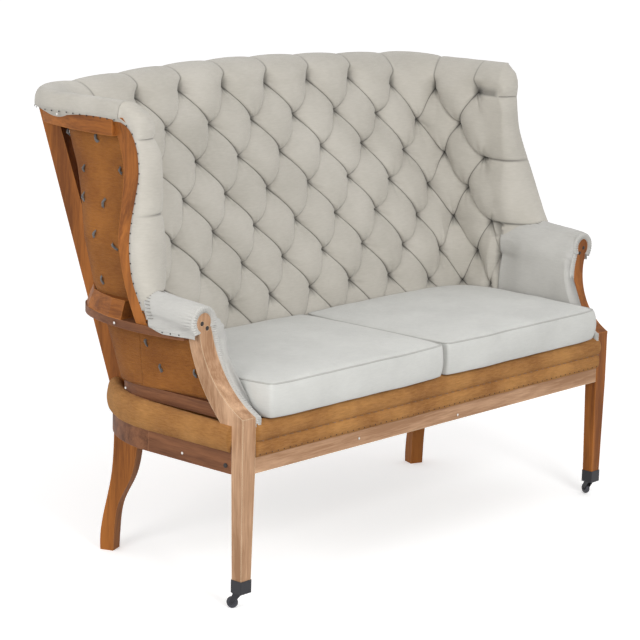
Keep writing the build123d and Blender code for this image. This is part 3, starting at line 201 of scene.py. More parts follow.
# %% [markdown]
# The inside back is set out as an upholsterer marks it: rows of tufts at equal steps, and columns
# at equal distances along the tub's curve. Half columns carry the tufts of every other row, which
# gives diamonds. On the wings the rows step down, because the wings are lower than the back. The same
# lines drive the linen in front, the hessian behind and the twine ties.

# %% Set out the tub
ROW_PITCH = 89.2
FIRST_ROW = 1138.0     # height of the top row of tufts at the middle
ROW_DROP = 48.0        # how far the rows step down to the wings
LAST_ROW = 7.3
FRAME_TOP = 1140.0
TUB_BOTTOM = 487.5
HALF_WIDTH = 690.0
CORNER = 105.0         # radius of the tub's corners in plan
CORNER_RUN = CORNER * math.pi / 2
FLAT = HALF_WIDTH - CORNER
SAG = 22.0             # how far the back bows forwards at its ends
WING_DEPTH = 352.0     # where the wing's padding starts
WING_ROW = FIRST_ROW - ROW_DROP
END_COLUMN = 6.0


def drop(column):
    """How far the rows have stepped down at a column."""
    return ROW_DROP * ease((abs(column) - 2.0) / 2.2)


def row_height(row, column):
    """Height of a row of tufts at a column; the last rows close up to the lower rail."""
    z = FIRST_ROW - drop(column) - row * ROW_PITCH
    if row > 6.0:
        sixth = FIRST_ROW - drop(column) - 6.0 * ROW_PITCH
        z = sixth + (TUB_BOTTOM - sixth) * (row - 6.0) / (LAST_ROW - 6.0)
    return z


def button_line(z):
    """Depth of the tufts at the middle of the back."""
    return 524.0 + (z - 560.0) * 0.351


def wing_front(z):
    """Depth where the tufted side gives way to the wing's front roll."""
    return WING_DEPTH + 48.0 * mix(0, 1, (z - 1050.0) / 90.0)


def side_run(z):
    """Length of the tub's straight side."""
    return button_line(z) - SAG - CORNER - wing_front(z)


def column_place(column, z):
    """Distance along the tub from the middle to a column."""
    low = (FRAME_TOP - z) / (FRAME_TOP - TUB_BOTTOM)
    flat = 163.0 - 8.0 * low
    side = 155.0 - 37.0 * low
    whole = FLAT + CORNER_RUN + side_run(z)
    if column >= END_COLUMN:
        return whole
    if column <= 3.5:
        return flat * column
    return min(flat * 3.5 + side * (column - 3.5), whole - side * (END_COLUMN - column) / 2)


def inner_point(column, z, proud=0.0):
    """A point of the tub's inside, proud of the tufts by so much, in millimetres."""
    hand = -1 if column < 0 else 1
    place = column_place(abs(column), z)
    back = button_line(z)
    if place <= FLAT:
        return hand * place, back - SAG * (place / FLAT) ** 2 - proud, z
    centre = back - SAG - CORNER
    if place <= FLAT + CORNER_RUN:
        turn = (place - FLAT) / CORNER
        radius = CORNER - proud
        return hand * (FLAT + radius * math.sin(turn)), centre + radius * math.cos(turn), z
    return hand * (HALF_WIDTH - proud), centre - (place - FLAT - CORNER_RUN), z


# %% Set out the hessian outside
SIDE_LOW, SIDE_HIGH = 708.0, 724.0   # half width at the tub rail and under the arm plank


def taper(depth):
    """How far the arms stand closer together in front than at the wings."""
    return (WING_DEPTH - depth) * 0.105


def arm_side(depth, z):
    """Half width of the arm's hessian at a depth and height."""
    return mix(SIDE_LOW, SIDE_HIGH, (z - TUB_BOTTOM) / 154.5) - taper(depth)


def hessian_side(z):
    """Half width of the hessian outside."""
    if z < 662.0:
        return arm_side(WING_DEPTH, z)
    if z < 829.0:
        return mix(SIDE_HIGH, 740.0, (z - 662.0) / 60.0)
    return mix(740.0, 703.0, (z - 829.0) / 170.0)


def hessian_back(x, z):
    """Depth of the hessian outside the back, which bows towards its ends."""
    high = (z - TUB_BOTTOM) / (FRAME_TOP - TUB_BOTTOM)
    bow = 6.0 + 94.0 * min(1.0, high * 1.45)
    return 512.0 + 291.5 * high - bow * (x / HALF_WIDTH) ** 2


def outer_point(column, z, inset=0.0):
    """A point of the hessian, level with a column, in millimetres."""
    hand = -1 if column < 0 else 1
    place = column_place(abs(column), z)
    if place <= FLAT:
        return hand * place, hessian_back(place, z) - inset, z
    centre = button_line(z) - SAG - CORNER
    wide = hessian_side(z) - FLAT - inset
    deep = hessian_back(FLAT, z) - centre - inset
    if place <= FLAT + CORNER_RUN:
        turn = (place - FLAT) / CORNER
        return hand * (FLAT + wide * math.sin(turn)), centre + deep * math.cos(turn), z
    return hand * (FLAT + wide), centre - (place - FLAT - CORNER_RUN), z


print("rows at the middle:", [round(row_height(row, 0.0)) for row in range(8)])

# %% [markdown]
# Each tuft is pulled deep with twine, and the cloth between four tufts stands up as a diamond. The
# pleats between tufts rise well proud half way along, which is why they look curved from the side.
# Every pleat is folded downwards, so a diamond falls steeply at its lower edges, laps a little over
# the fold, and slopes gently at its upper ones. Beyond the last tuft of a row the fold runs straight to
# the edge: sideways on the wings, and up over the top on the back.

# %% The height of the linen
PLEAT_RISE = 25.0
DIAMOND_RISE = 16.0
EDGE_COLUMN = 5.5
LEAN = 1.35            # pleats fall steeper below than above
COLUMN_PITCH = 158.0
GATHER_RISE = 3.4      # small gathers that run out from each tuft
GATHER_REACH = 24.0
LOW_SHARE = 0.72       # the tufting is flatter where the cushions touch it


def in_diamond(column, row):
    """A place within its diamond: how far across, running down, and along, running up, 0 to 1."""
    c = abs(column)
    return (c + 0.5 + row / 2) % 1.0, (c + 0.5 - row / 2) % 1.0


def diamond(across, along):
    """Height in a diamond, where across runs down one way and along runs up the other, 0 to 1."""
    sa = math.sin(math.pi * across**LEAN)
    sb = math.sin(math.pi * (1 - along) ** LEAN)
    return PLEAT_RISE * max(1 - (1 - sa) * (1 - sb), 0.0) ** 0.62 + DIAMOND_RISE * max(sa * sb, 0.0) ** 0.45


def edge_band(s):
    """Height beside the wing's edge, where s is 0 at a fold and 1 between folds."""
    return 20.0 + 14.0 * s**0.5


def nearest_tuft(column, row):
    """Offset in millimetres from the nearest tuft, and a number that differs from tuft to tuft."""
    best = (1000.0, (1000.0, 0.0), 0.0)
    for r in (math.floor(row), math.floor(row) + 1):
        shift = 0.5 if r % 2 == 0 else 0.0
        c = round(column - shift) + shift
        if r < 0 or c > END_COLUMN or (c > EDGE_COLUMN and r < 5):
            continue
        away = ((column - c) * COLUMN_PITCH, (row - r) * ROW_PITCH)
        dist = math.hypot(*away)
        if dist < best[0]:
            best = (dist, away, c * 7.31 + r * 3.7)
    return best


def linen_height(column, row):
    """Height of the linen over the tufts at a place of the diamond grid."""
    c = abs(column)
    rise = diamond(*in_diamond(c, row))
    if c > EDGE_COLUMN:
        if row < 4.0:
            s = abs(math.sin(math.pi * row / 2)) ** 0.8
            start = diamond(*in_diamond(EDGE_COLUMN, row))
            rise = mix(start, edge_band(s), ease((c - EDGE_COLUMN) / 0.3))
        else:
            lip = ease((row - 4.0) / 0.5)
            rise = min(rise, mix(17.0, 40.0, lip)) * mix(1.0, 0.45, ease((c - EDGE_COLUMN) / 0.5))
    dist, away, seed = nearest_tuft(c, row)
    if 2.0 < dist < 70.0:
        angle = math.atan2(away[1], away[0])
        crinkle = math.sin(7 * angle + seed) + 0.6 * math.sin(11 * angle + 2.3 * seed)
        rise += GATHER_RISE * crinkle * math.exp(-dist / GATHER_REACH) * ease(dist / 12.0)
    z = row_height(row, c)
    low = mix(1.0, LOW_SHARE, (640.0 - z) / 75.0)
    if c > 4.1 and z < 800.0:
        low = min(low, mix(1.0, LOW_SHARE, (800.0 - z) / 75.0 * min((c - 4.1) * 2, 1.0)))
    foot = mix(1.0, 0.75, (745.0 - z) / 48.0) if c > EDGE_COLUMN and row < 4.5 else 1.0
    return rise * low * foot * mix(1.0, 0.3, (row - 6.9) / 0.4)


# %% Painted shade in the folds, and how they lap
def painted_fold_shade(column, row, height):
    """Painted shade on the cloth's colour: 0 deep in a tuft, less than 1 on a fold, else 1."""
    c = abs(column)
    across, along = in_diamond(c, row)
    near = min(across, 1 - across, along, 1 - along)
    on_fold = near < 0.004 and c < EDGE_COLUMN + 0.01 and row > -0.01
    sideways = c > EDGE_COLUMN and row < 4.1 and abs(row / 2 - round(row / 2)) < 0.004
    return min(height / 15.0, 1.0) * (0.3 if on_fold else 0.45 if sideways else 1.0)


def linen_lap(column, row):
    """How far the linen hangs down over the fold below it."""
    c = abs(column)
    across, along = in_diamond(c, row)
    lap = 0.0
    for away, other in ((1 - across, along), (along, across)):
        reach = away / 0.07
        middle = math.sin(math.pi * other) ** 0.8
        lap += 6.5 * middle * reach * math.exp(1 - reach) if reach < 9 else 0.0
    sides = mix(1.0, 0.0, (c - EDGE_COLUMN) / 0.15)
    return lap * sides * mix(1.0, 0.0, (row - 6.7) / 0.3) * mix(0.0, 1.0, row / 0.15)


print("linen at the middle of a diamond, at a fold and at a tuft, mm:",
      [round(linen_height(c, r), 1) for c, r in ((1.0, 2.0), (0.75, 2.5), (0.5, 2.0))])


# %% [markdown]
# All round the top and down the front of the wings the stuffing is built into a roll. The linen runs
# from the first row of tufts over the roll, and is tacked outside, on the edge of the frame. One rule
# draws every section: it starts at the tufts, swells away from the frame, and comes back at the tacks.
# On the top the swelling goes up, and on the wings' fronts forwards. At each corner the sections turn
# like a fan, and the spare cloth there is laid in small pleats.

# %% The edge roll's sections
TACKS = [  # height, half width and depth of the tacks on the wing post
    (662, 783, 262), (720, 789, 286), (760, 789, 306), (800, 786, 319), (850, 777, 332), (900, 762, 341),
    (950, 745, 346), (1000, 731, 350), (1050, 729, 355), (1080, 732, 361), (1110, 739, 372), (1137, 752, 394),
]
FRONTS = [  # height, depth of the roll's front
    (662, 236), (700, 246), (745, 268), (800, 287), (850, 299), (900, 308), (950, 320), (1000, 330), (1055, 338),
    (1090, 349),
]


def roll_rise(column):
    """How far the top roll stands over the frame."""
    x = abs(inner_point(column, FRAME_TOP)[0])
    if abs(column) <= 3.5:
        return 66.0 - 20.0 * (x / FLAT) ** 2
    return mix(46.0, 33.0, (abs(column) - 3.5) / 1.3)


def rail_outer(column):
    """Half width and depth of the top rails' outer face at a column."""
    hand = -1 if column < 0 else 1
    place = column_place(abs(column), FRAME_TOP)
    if place <= FLAT:
        x = place * 1.03
        return hand * x, 835.0 - 70.0 * (x / 640.0) ** 2
    centre = button_line(FRAME_TOP) - SAG - CORNER
    deep = 835.0 - 70.0 * (FLAT * 1.03 / 640.0) ** 2 - centre
    if place <= FLAT + CORNER_RUN:
        turn = (place - FLAT) / CORNER
        square = 1 + 0.13 * math.sin(2 * turn)
        x = FLAT * 1.03 + (748.0 - FLAT * 1.03) * math.sin(turn) * square
        return hand * x, centre + deep * math.cos(turn) * square
    depth = centre - (place - FLAT - CORNER_RUN)
    return hand * mix(748.0, 753.0, (centre - depth) / 170.0), depth


# %% One rule for every section
ROLL_FULL = 0.74       # the lower, the fuller the roll


def section(base, tack, way, reach, q):
    """A point of the roll's section, from the tufts (q = 0) to the tacks (q = 1)."""
    share = 0.5 - 0.5 * math.cos(math.pi * q)
    height = max(math.sin(math.pi * q), 0.0) ** ROLL_FULL
    return base + (tack - base) * share + way * (reach * height)


def top_section(column, q):
    """A point of the roll along the top, in millimetres."""
    c = abs(column)
    s = abs(math.sin(math.pi * (c + 0.5)))
    s = mix(s, 1.0, (c - 5.1) / 0.3)
    z0 = row_height(0.0, column)
    full = 25.0 + 7.0 * s**0.5
    proud = mix(linen_height(column, 0.0), full, ease(q / 0.2)) * mix(1.0, 0.6, q)
    base = Vector(inner_point(column, z0, proud))
    x, d = rail_outer(column)
    tack = Vector((x, d, FRAME_TOP - 4.0))
    reach = FRAME_TOP + roll_rise(column) - (z0 + tack.z) / 2
    crease = (1 - s**0.4) * 7.5 * ease(q / 0.15) * (1 - ease((q - 0.7) / 0.3))
    return section(base, tack, Vector((0, 0, 1)), reach - crease, q)


def wing_section(z, q, hand):
    """A point of the roll down a wing's front, in millimetres."""
    row = (WING_ROW - z) / ROW_PITCH
    s = abs(math.sin(math.pi * row / 2))
    x, d = through(TACKS, z)
    front = through(FRONTS, z)[0]
    base = Vector((hand * (HALF_WIDTH - linen_height(END_COLUMN, row)), wing_front(z), z))
    tack = Vector((hand * x, d, z))
    reach = (base.y + tack.y) / 2 - front
    crease = (1 - s**0.25) * 6.0 * ease(q / 0.1) * mix(1.0, 0.5, q)
    pull = 0.8 * math.sin(z * 0.9 + 3 * q) * math.exp(-abs(row - 2.0) * 6) * math.sin(math.pi * q)
    return section(base, tack, Vector((0, -1, 0)), reach - crease + pull, q)


def corner_section(turn, q, hand):
    """A point of the roll round a wing's top corner; turn goes from 0, up, to 1, forwards."""
    low = WING_ROW
    height = linen_height(END_COLUMN, 0.0)
    proud = mix(mix(height, 32.0, ease(q / 0.2)) * mix(1.0, 0.6, q), height, turn)
    base = Vector((hand * (HALF_WIDTH - proud), wing_front(low), low))
    first = Vector((hand * 753.0, 400.0, FRAME_TOP - 4.0))
    x, d = through(TACKS, mix(1137.0, low, turn))
    tack = Vector((hand * x, mix(first.y, d, ease(turn * 3)), mix(first.z, low, turn)))
    up_reach = FRAME_TOP + 33.0 - (low + first.z) / 2
    front_reach = (base.y + through(TACKS, low)[1]) / 2 - through(FRONTS, low)[0]
    angle = turn * math.pi / 2
    way = Vector((0, -math.sin(angle), math.cos(angle)))
    reach = mix(up_reach, front_reach, 0.5 * turn + 0.5 * ease(turn))
    pleat = 1.6 * (0.5 + 0.5 * math.cos(turn * math.pi * 10)) * math.sin(math.pi * q) ** 0.5
    return section(base, tack, way, reach - pleat * math.sin(math.pi * turn), q)


print("top roll over the frame, middle and ends, mm:", roll_rise(0.0), round(roll_rise(3.5)))


# %% [markdown]
# The linen is one length of cloth, from the lower rail up the back and over the roll to the tacks
# outside. So it is made as one piece from a few grids, merged where their edges meet. The steps of the
# grid divide the tufts' pitch, so that every fold runs through crossings, and each face is split
# along the fold next to it, which keeps folds sharp.

# %% Make the tufted linen
COLUMN_STEPS = 480
ROW_STEPS = 20.0       # steps of the grid to one row of tufts
FRONT_STEPS = 146
ROLL_STEPS = 40
BACK_STEPS = 12
FAN_STEPS = 24
WING_STEPS = 88
RETURN = ((-9.0, 1.0), (-22.0, 1.5), (-25.5, 14.0))   # round the post: from its outer face, from its front


def grid_part(bm, across, along, place):
    """Add a grid to a bmesh; place(i, j) gives each crossing's position, and its column, row and painted shade."""
    layer = bm.verts.layers.float_vector["cloth"]
    made = bmesh.ops.create_grid(bm, x_segments=across, y_segments=along, size=1.0)["verts"]
    for vert in made:
        i = round((vert.co.x + 1) / 2 * across)
        j = round((vert.co.y + 1) / 2 * along)
        vert.co, vert[layer] = place(i, j)
    return made


def sheet_place(i, j):
    """The inside, over the top and down behind."""
    column = (j / COLUMN_STEPS * 2 - 1) * END_COLUMN
    if i <= FRONT_STEPS or i == FRONT_STEPS + ROLL_STEPS + BACK_STEPS:
        row = LAST_ROW - i / ROW_STEPS if i <= FRONT_STEPS else LAST_ROW
        height = linen_height(column, row)
        z = row_height(row, column)
        x, d, z = inner_point(column, z, height)
        lap = linen_lap(column, row)
        # The third number of the cloth value is painted shade: dark deep in the tufts and along the folds.
        return at(x, d - lap * 0.25, z - lap), Vector((column, row, painted_fold_shade(column, row, height)))
    if i <= FRONT_STEPS + ROLL_STEPS:
        q = (i - FRONT_STEPS) / ROLL_STEPS
        # Over the roll the painted shade of the folds fades out, and at the half columns a painted dark crease runs
        # part way over.
        shade = painted_fold_shade(column, 0.0, linen_height(column, 0.0))
        half = abs(column) + 0.5
        if abs(half - round(half)) < 0.004 and abs(column) < EDGE_COLUMN + 0.1:
            return at(*top_section(column, q)), Vector((column, -1.0, mix(0.35, 1.0, (q - 0.05) / 0.8)))
        return at(*top_section(column, q)), Vector((column, -1.0, mix(shade, 1.0, ease(q / 0.1))))
    share = (i - FRONT_STEPS - ROLL_STEPS) / BACK_STEPS
    return at(*outer_point(column, mix(FRAME_TOP - 1, TUB_BOTTOM, share), 4.0)), Vector((column, -1.0, 1.0))


# %% Run the linen down the wings
def side_place(hand, i, j):
    """Down the front of a wing; i counts rows down, j goes round the roll."""
    row = i / ROW_STEPS
    z = WING_ROW - row * ROW_PITCH
    if j <= ROLL_STEPS:
        # Painted shade along the wing roll's creases at rows 0, 2 and 4.
        shade = mix(0.4, 1.0, (j / ROLL_STEPS - 0.25) / 0.7) if i % 40 == 0 and i < 81 else 1.0
        return at(*wing_section(z, j / ROLL_STEPS, hand)), Vector((0.0, -1.0, shade))
    x, d = through(TACKS, z)
    dx, dd = RETURN[j - ROLL_STEPS - 1]
    return at(hand * (x + dx), d - 4.0 + dd, z), Vector((0.0, -1.0, 1.0))


def fan_place(hand, i, j):
    """Round a wing's top corner."""
    turn = i / FAN_STEPS
    if j <= ROLL_STEPS:
        return at(*corner_section(turn, j / ROLL_STEPS, hand)), Vector((0.0, -1.0, 1.0))
    x, d, z = corner_section(turn, 1.0, hand)
    dx, dd = RETURN[j - ROLL_STEPS - 1]
    return at(x + hand * dx, d - 4.0 + dd, z), Vector((0.0, -1.0, 1.0))


# %% Keep the folds sharp, and join the ends
def split_along_folds(bm, layer):
    """Split each front face along the fold that runs nearest to it."""
    for face in list(bm.faces):
        corners = [v[layer] for v in face.verts]
        columns, rows = [c.x for c in corners], [c.y for c in corners]
        if len(corners) != 4 or min(rows) < -0.01 or max(rows) - min(rows) > 1:
            continue
        c, r = abs(sum(columns) / 4), sum(rows) / 4
        a, b = in_diamond(c, r)
        falling = min(a, 1 - a) < min(b, 1 - b)
        if sum(columns) < 0:
            falling = not falling
        near = sorted((k for k in range(4) if columns[k] - min(columns) < 1e-4), key=lambda k: rows[k])
        far = sorted((k for k in range(4) if columns[k] - min(columns) >= 1e-4), key=lambda k: rows[k])
        first, last = (near[1], far[0]) if falling else (near[0], far[1])
        bmesh.utils.face_split(face, face.verts[first], face.verts[last])


def close_end(bm, hand):
    """Join the cover's turned-in edge, inside a wing post, to the cover's back, and cap its foot."""
    rim = {v for e in bm.edges if e.is_boundary for v in e.verts if v.co.x * hand > 0}
    last = ROLL_STEPS + len(RETURN)
    end = COLUMN_STEPS if hand > 0 else 0
    back_start = FRONT_STEPS + ROLL_STEPS

    def find(places):
        return [min(rim, key=lambda v: (v.co - place[0]).length_squared) for place in places]

    inner = find([fan_place(hand, 0, j) for j in range(ROLL_STEPS, last + 1)])
    inner += find([fan_place(hand, i, last) for i in range(1, FAN_STEPS)])
    inner += find([side_place(hand, i, last) for i in range(WING_STEPS + 1)])
    back = find([sheet_place(i, end) for i in range(back_start, back_start + BACK_STEPS + 1)])
    foot = find([side_place(hand, WING_STEPS, j) for j in range(last + 1)])
    wall = find([sheet_place(i, end) for i in range(round((LAST_ROW - WING_STEPS / ROW_STEPS) * ROW_STEPS) + 1)])
    i = k = 0
    while i < len(inner) - 1:
        if back[k + 1].co.z > inner[i + 1].co.z and back[k + 1].co.z > inner[-1].co.z:
            corners = (inner[i], back[k + 1], back[k])
            k += 1
        else:
            corners = (inner[i], inner[i + 1], back[k])
            i += 1
        if len(set(corners)) == 3:
            bm.faces.new(corners)
    bm.faces.new((inner[-1], foot[0], back[k]))
    bm.faces.new(foot)
    bm.faces.new(wall + back[k:-1])


# %% Join the linen
bm = bmesh.new()
cloth = bm.verts.layers.float_vector.new("cloth")
grid_part(bm, FRONT_STEPS + ROLL_STEPS + BACK_STEPS, COLUMN_STEPS, sheet_place)
split_along_folds(bm, cloth)
for hand in (-1, 1):
    grid_part(bm, WING_STEPS, ROLL_STEPS + len(RETURN), lambda i, j: side_place(hand, i, j))
    grid_part(bm, FAN_STEPS, ROLL_STEPS + len(RETURN), lambda i, j: fan_place(hand, i, j))
bmesh.ops.remove_doubles(bm, verts=bm.verts, dist=0.0001)
for hand in (-1, 1):
    close_end(bm, hand)
bmesh.ops.recalc_face_normals(bm, faces=bm.faces)
print("open edges left in the linen:", sum(e.is_boundary for e in bm.edges))
tufted_linen = keep_mesh("tufted_linen", bm)
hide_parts("inside_back", "inside_wing_left", "inside_wing_right", "top_roll", "back_buttons",
            "wing_roll_left", "wing_roll_right")
print("tufted linen faces:", len(tufted_linen.data.polygons))


# %% [markdown]
# Each arm is a pad inside the frame that swells into a roll on top of the arm plank. In front it
# stops at the sawn scroll. One closed section, which follows the post's curve at its front end, makes
# pad and roll together.

# %% Make the arm pads
SCROLL = (743.0, 688.0)
POST_INNER = ((679.0, 460.0), (691.0, 560.0), (719.0, 676.0))    # half width, height
POST_FRONT = ((0.0, 470.0), (75.0, 532.0), (113.0, 650.0))       # depth, height
POST_REAR = ((36.0, 415.0), (107.0, 492.0), (152.0, 637.0))


def post_front_depth(z):
    """Depth of the arm post's front edge at a height."""
    return 0.0 if z <= 470.0 else 113.0 if z >= 650.0 else arc_at_height(POST_FRONT, z)


def post_inner_x(z):
    """Half width to the arm post's inner face at a height."""
    return 679.0 if z <= 460.0 else arc_at_height(POST_INNER, z)


def plank_edge(depth):
    """Half width of the arm plank's outer edge at a depth."""
    return 788.5 - 18.0 * ((300.0 - depth) / 150.0) ** 2


def plank_under(depth):
    """Height where the linen is tacked to the arm plank's edge."""
    return mix(663.0, 651.0, ease((262.0 - depth) / 60.0))


def arm_section(depth):
    """Section of pad and roll, from the bottom inside, over the top, to the bottom outside."""
    inside = HALF_WIDTH - taper(depth)
    cx = SCROLL[0] + 3 + (depth - 113.0) * 0.045
    cz = SCROLL[1] + 3 + (depth - 113.0) * 0.07
    low = SIDE_LOW - taper(depth) - 3
    hung = SIDE_HIGH - taper(depth) - 3
    edge = plank_edge(max(depth, 140.0))
    under = plank_under(depth)
    fat = ease((depth - 150.0) / 170.0)
    inside -= 13.0 * fat
    r = 40.0
    return [
        (inside + 4, 489), (inside - 1, 530), (inside - 3, 580), (inside - 1, 628),
        (inside + 6 - 6 * fat, 672 + 12 * fat), (cx - r * 0.86 - 22 * fat, cz + r * 0.52 + 5 * fat),
        (cx - r * 0.5, cz + r * 0.87), (cx, cz + r), (cx + r * 0.5, cz + r * 0.87),
        (cx + r * 0.87, cz + r * 0.5), (cx + r, cz), (cx + r * 0.93, cz - r * 0.33), (edge + 5, 667),
        (edge + 3, (665 + under) / 2), (edge + 2, under), (edge + 0.6, under), (edge + 0.6, 663), (730, 663.5),
        (727, 655), (727, 643), (hung, 640), ((hung + low) / 2, 560), (low, 489),
    ]


# %% Pull the linen over the arms
def make_arm(hand, side):
    """One arm's pad and roll, from the scroll in front to the wing behind."""
    def place(u, v):
        near = loop_curve(arm_section(130.0), u)
        front = max(post_front_depth(near[1]) + 2.0, 2.0)
        far = loop_curve(arm_section(255.0), u)
        rear = 354.0
        if far[1] > 650:
            behind = through(FRONTS, max(far[1], 662.0))[0] + 12.0
            rear = mix(354.0, behind, ease((far[0] - 700.0) / 16.0))
        depth = front + (rear - front) * v**1.5
        x, z = loop_curve(arm_section(depth), u)
        if x < 706.0 and z < 712.0:
            row = (WING_ROW - z) / ROW_PITCH
            join = HALF_WIDTH - linen_height(END_COLUMN, min(row, 6.9)) - 0.5
            x += (join - x) * ease((depth - 262.0) / 88.0) * ease((712.0 - z) / 20.0)
        cx, cz = SCROLL[0] + 3, SCROLL[1] + 3
        away = Vector((x - cx, z - cz))
        if z > 655 and away.length > 30:
            close = math.exp(-(depth - front) / 13.0)
            ripple = math.sin(math.atan2(away.y, away.x) * 30)
            away.normalize()
            pull = close * (2.3 * ripple - 4.5) + 0.8 * noise.noise(Vector((x / 30.0, depth / 25.0, z / 30.0)))
            x, z = x + away.x * pull, z + away.y * pull
        return at(hand * x, depth, z)

    bm = pulled_grid(276, 70, place, closed=True)
    arm = keep_mesh(f"arm_linen_{side}", bm)
    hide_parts(f"arm_roll_{side}")
    return arm


arms = [make_arm(-1, "left"), make_arm(1, "right")]
print("arm faces:", len(arms[0].data.polygons))


# %% [markdown]
# Round the scroll, and down the inside of the arm post, the linen is gathered into small pleats and
# stitched to the edge. It is a narrow bulging strip that follows the sawn edge: up the post, over the
# scroll and down its outer side. A ripple along the strip makes the gathers.

# %% Make the gathered strips
def strip_line(share):
    """Point on the wood's front edge, and the direction away from the wood, along the strip."""
    if share < 0.6:
        z = mix(447.0, 676.0, share / 0.6)
        return (post_inner_x(z), post_front_depth(z), z), (-1.0, 0.0)
    angle = math.radians(206.0 - (share - 0.6) / 0.4 * 262.0)
    spot = (SCROLL[0] + 23.5 * math.cos(angle), 113.0, SCROLL[1] + 23.5 * math.sin(angle))
    return spot, (math.cos(angle), math.sin(angle))


def make_strip(hand, side):
    """The gathered strip round one arm post."""
    def place(u, v):
        (x, d, z), (ox, oz) = strip_line(v)
        width = 17.0 * ease(v / 0.02 + 0.5) * ease((1 - v) / 0.03 + 0.3)
        turn = u * 2 * math.pi
        run = 0.5 - 0.5 * math.cos(turn)
        swell = math.sin(turn)
        gather = math.sin(v * 400.0) if v > 0.55 else math.sin(v * 520.0) * 0.8
        front = 5.0 * swell + 2.2 * gather * max(swell, 0.0) if swell > 0 else 14.0 * swell
        return at(hand * (x + ox * width * run), d - front, z + oz * width * run)

    bm = pulled_grid(20, 420, place, closed=True)
    strip = keep_mesh(f"arm_strip_{side}", bm)
    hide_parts(f"arm_facing_{side}")
    return strip


strips = [make_strip(-1, "left"), make_strip(1, "right")]
print("strip faces:", len(strips[0].data.polygons))


# %% [markdown]
# The two seat cushions are boxed: a top and a bottom panel joined by a side strip, with a seam at
# each edge. The filling pushes every panel outwards between its seams, and lightly drawn tufts
# leave soft hollows in the top. A finely divided box is pulled to that form, and a thin piping in a
# darker linen follows each seam, which paints the shade along the seams.

# %% Make the seat cushions
CUSHION_LOW = 460.0
CUSHION_SIDE = 84.0
CUSHION_BACK = 485.5
CUSHION_FRONT = -23.0
CUSHION_CORNER = 132.0
HOLLOWS = ((-0.5, -0.45), (0.0, 0.0), (0.5, -0.45), (-0.5, 0.45), (0.5, 0.45))
SEAM_STEPS = 320


def cushion_edge(depth):
    """Half width of the cushion's outer side at a depth."""
    base = mix(649.0, 664.0, (depth - CUSHION_FRONT) / 360.0)
    past = depth - (CUSHION_BACK - CUSHION_CORNER)
    if past > 0:
        base -= CUSHION_CORNER * (1 - math.sqrt(max(1 - (past / CUSHION_CORNER) ** 2, 0.0))) * 0.95
    return base


def cushion_place(a, b, c):
    """A point of the right cushion; each number runs from -1 to 1 across, back and up."""
    bulge = max(1 - c * c, 0.0) ** 0.5
    inset = (8.0 * (1 - bulge) if c < 0 else 3.5 * (1 - bulge)) - 3.0 * bulge
    wide = cushion_edge(min(mix(CUSHION_FRONT, CUSHION_BACK, (b + 1) / 2), CUSHION_BACK - 4))
    depth = mix(-21.0 + inset, CUSHION_BACK - inset, (b + 1) / 2)
    x = mix(2.2 + inset * 0.3, wide - inset, (a + 1) / 2)
    square = (a * a * b * b) ** 3
    x += 8.0 * square * (-1 if a > 0 else 1)
    depth += 8.0 * square * (-1 if b > 0 else 1)
    z = CUSHION_LOW + CUSHION_SIDE * (c + 1) / 2
    if abs(a) > 0.99 or abs(b) > 0.99:
        spot = Vector((a * 4, b * 4, c * 0.9 + 5))
        rumple = noise.noise(spot * 0.7) * 3.4 * bulge
        x, depth = x + rumple * a * (abs(a) > 0.99), depth + rumple * b * (abs(b) > 0.99)
    z += 2.2 * noise.noise(Vector((a * 3, b * 3, 0.0))) * (1 - a * a * b * b)
    return x, depth, z


def seam_line(hand, level):
    """The seam round a cushion's bottom or top."""
    line = []
    for k in range(SEAM_STEPS + 1):
        turn = k / SEAM_STEPS * 8
        part, share = int(turn) % 8 // 2, (turn % 2) - 1
        a, b = ((share, -1), (1, share), (-share, 1), (-1, -share))[part]
        x, depth, z = cushion_place(a, b, level)
        line.append(at(hand * x, depth, z + (4.5 if level < 0 else 0.5)))
    for _ in range(2):
        line = [(line[(k - 1) % SEAM_STEPS] + line[k % SEAM_STEPS] * 2 + line[(k + 1) % SEAM_STEPS]) / 4
                for k in range(SEAM_STEPS + 1)]
    return line


# %% Fill and pipe the cushions
def make_cushion(hand, side):
    """One seat cushion, and the piping along its two seams."""
    bm = bmesh.new()
    bmesh.ops.create_cube(bm, size=2.0)
    bmesh.ops.subdivide_edges(bm, edges=bm.edges, cuts=63, use_grid_fill=True)
    for vert in bm.verts:
        a, b, c = vert.co
        x, depth, z = cushion_place(a, b, c)
        if c > 0.999:
            z += 17.5 * ((1 - a * a) * (1 - b * b)) ** 0.36
            for ta, tb in HOLLOWS:
                z -= 3.0 * math.exp(-(((a - ta) / 0.14) ** 2 + ((b - tb) / 0.16) ** 2) ** 0.5)
        elif c < -0.999:
            z += 6.0 * max(abs(a), abs(b)) ** 10
        vert.co = at(hand * x, depth, z)
    bmesh.ops.smooth_vert(bm, verts=bm.verts, factor=0.5, use_axis_x=True, use_axis_y=True, use_axis_z=True)
    seams = bmesh.new()
    for level in (-1, 1):
        add_tube(seams, seam_line(hand, level), 0.0023)
    bmesh.ops.remove_doubles(seams, verts=seams.verts, dist=0.00001)
    bmesh.ops.recalc_face_normals(seams, faces=seams.faces)
    bmesh.ops.remove_doubles(bm, verts=bm.verts, dist=0.00001)
    bmesh.ops.recalc_face_normals(bm, faces=bm.faces)
    cushion = keep_mesh(f"seat_cushion_linen_{side}", bm, f"cushion_{side}")
    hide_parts(f"seat_cushion_{side}")
    piping = keep_mesh(f"cushion_piping_{side}", seams, f"cushion_{side}")
    return cushion, piping


cushions = [make_cushion(-1, "left"), make_cushion(1, "right")]
print("cushion faces:", len(cushions[0][0].data.polygons))


# %% [markdown]
# Hessian is stretched over the outside of the stuffing and tacked to the frame. The twine of each tuft
# pulls a small dimple in it. The panels are thin grids with a wall added, so both faces are closed.

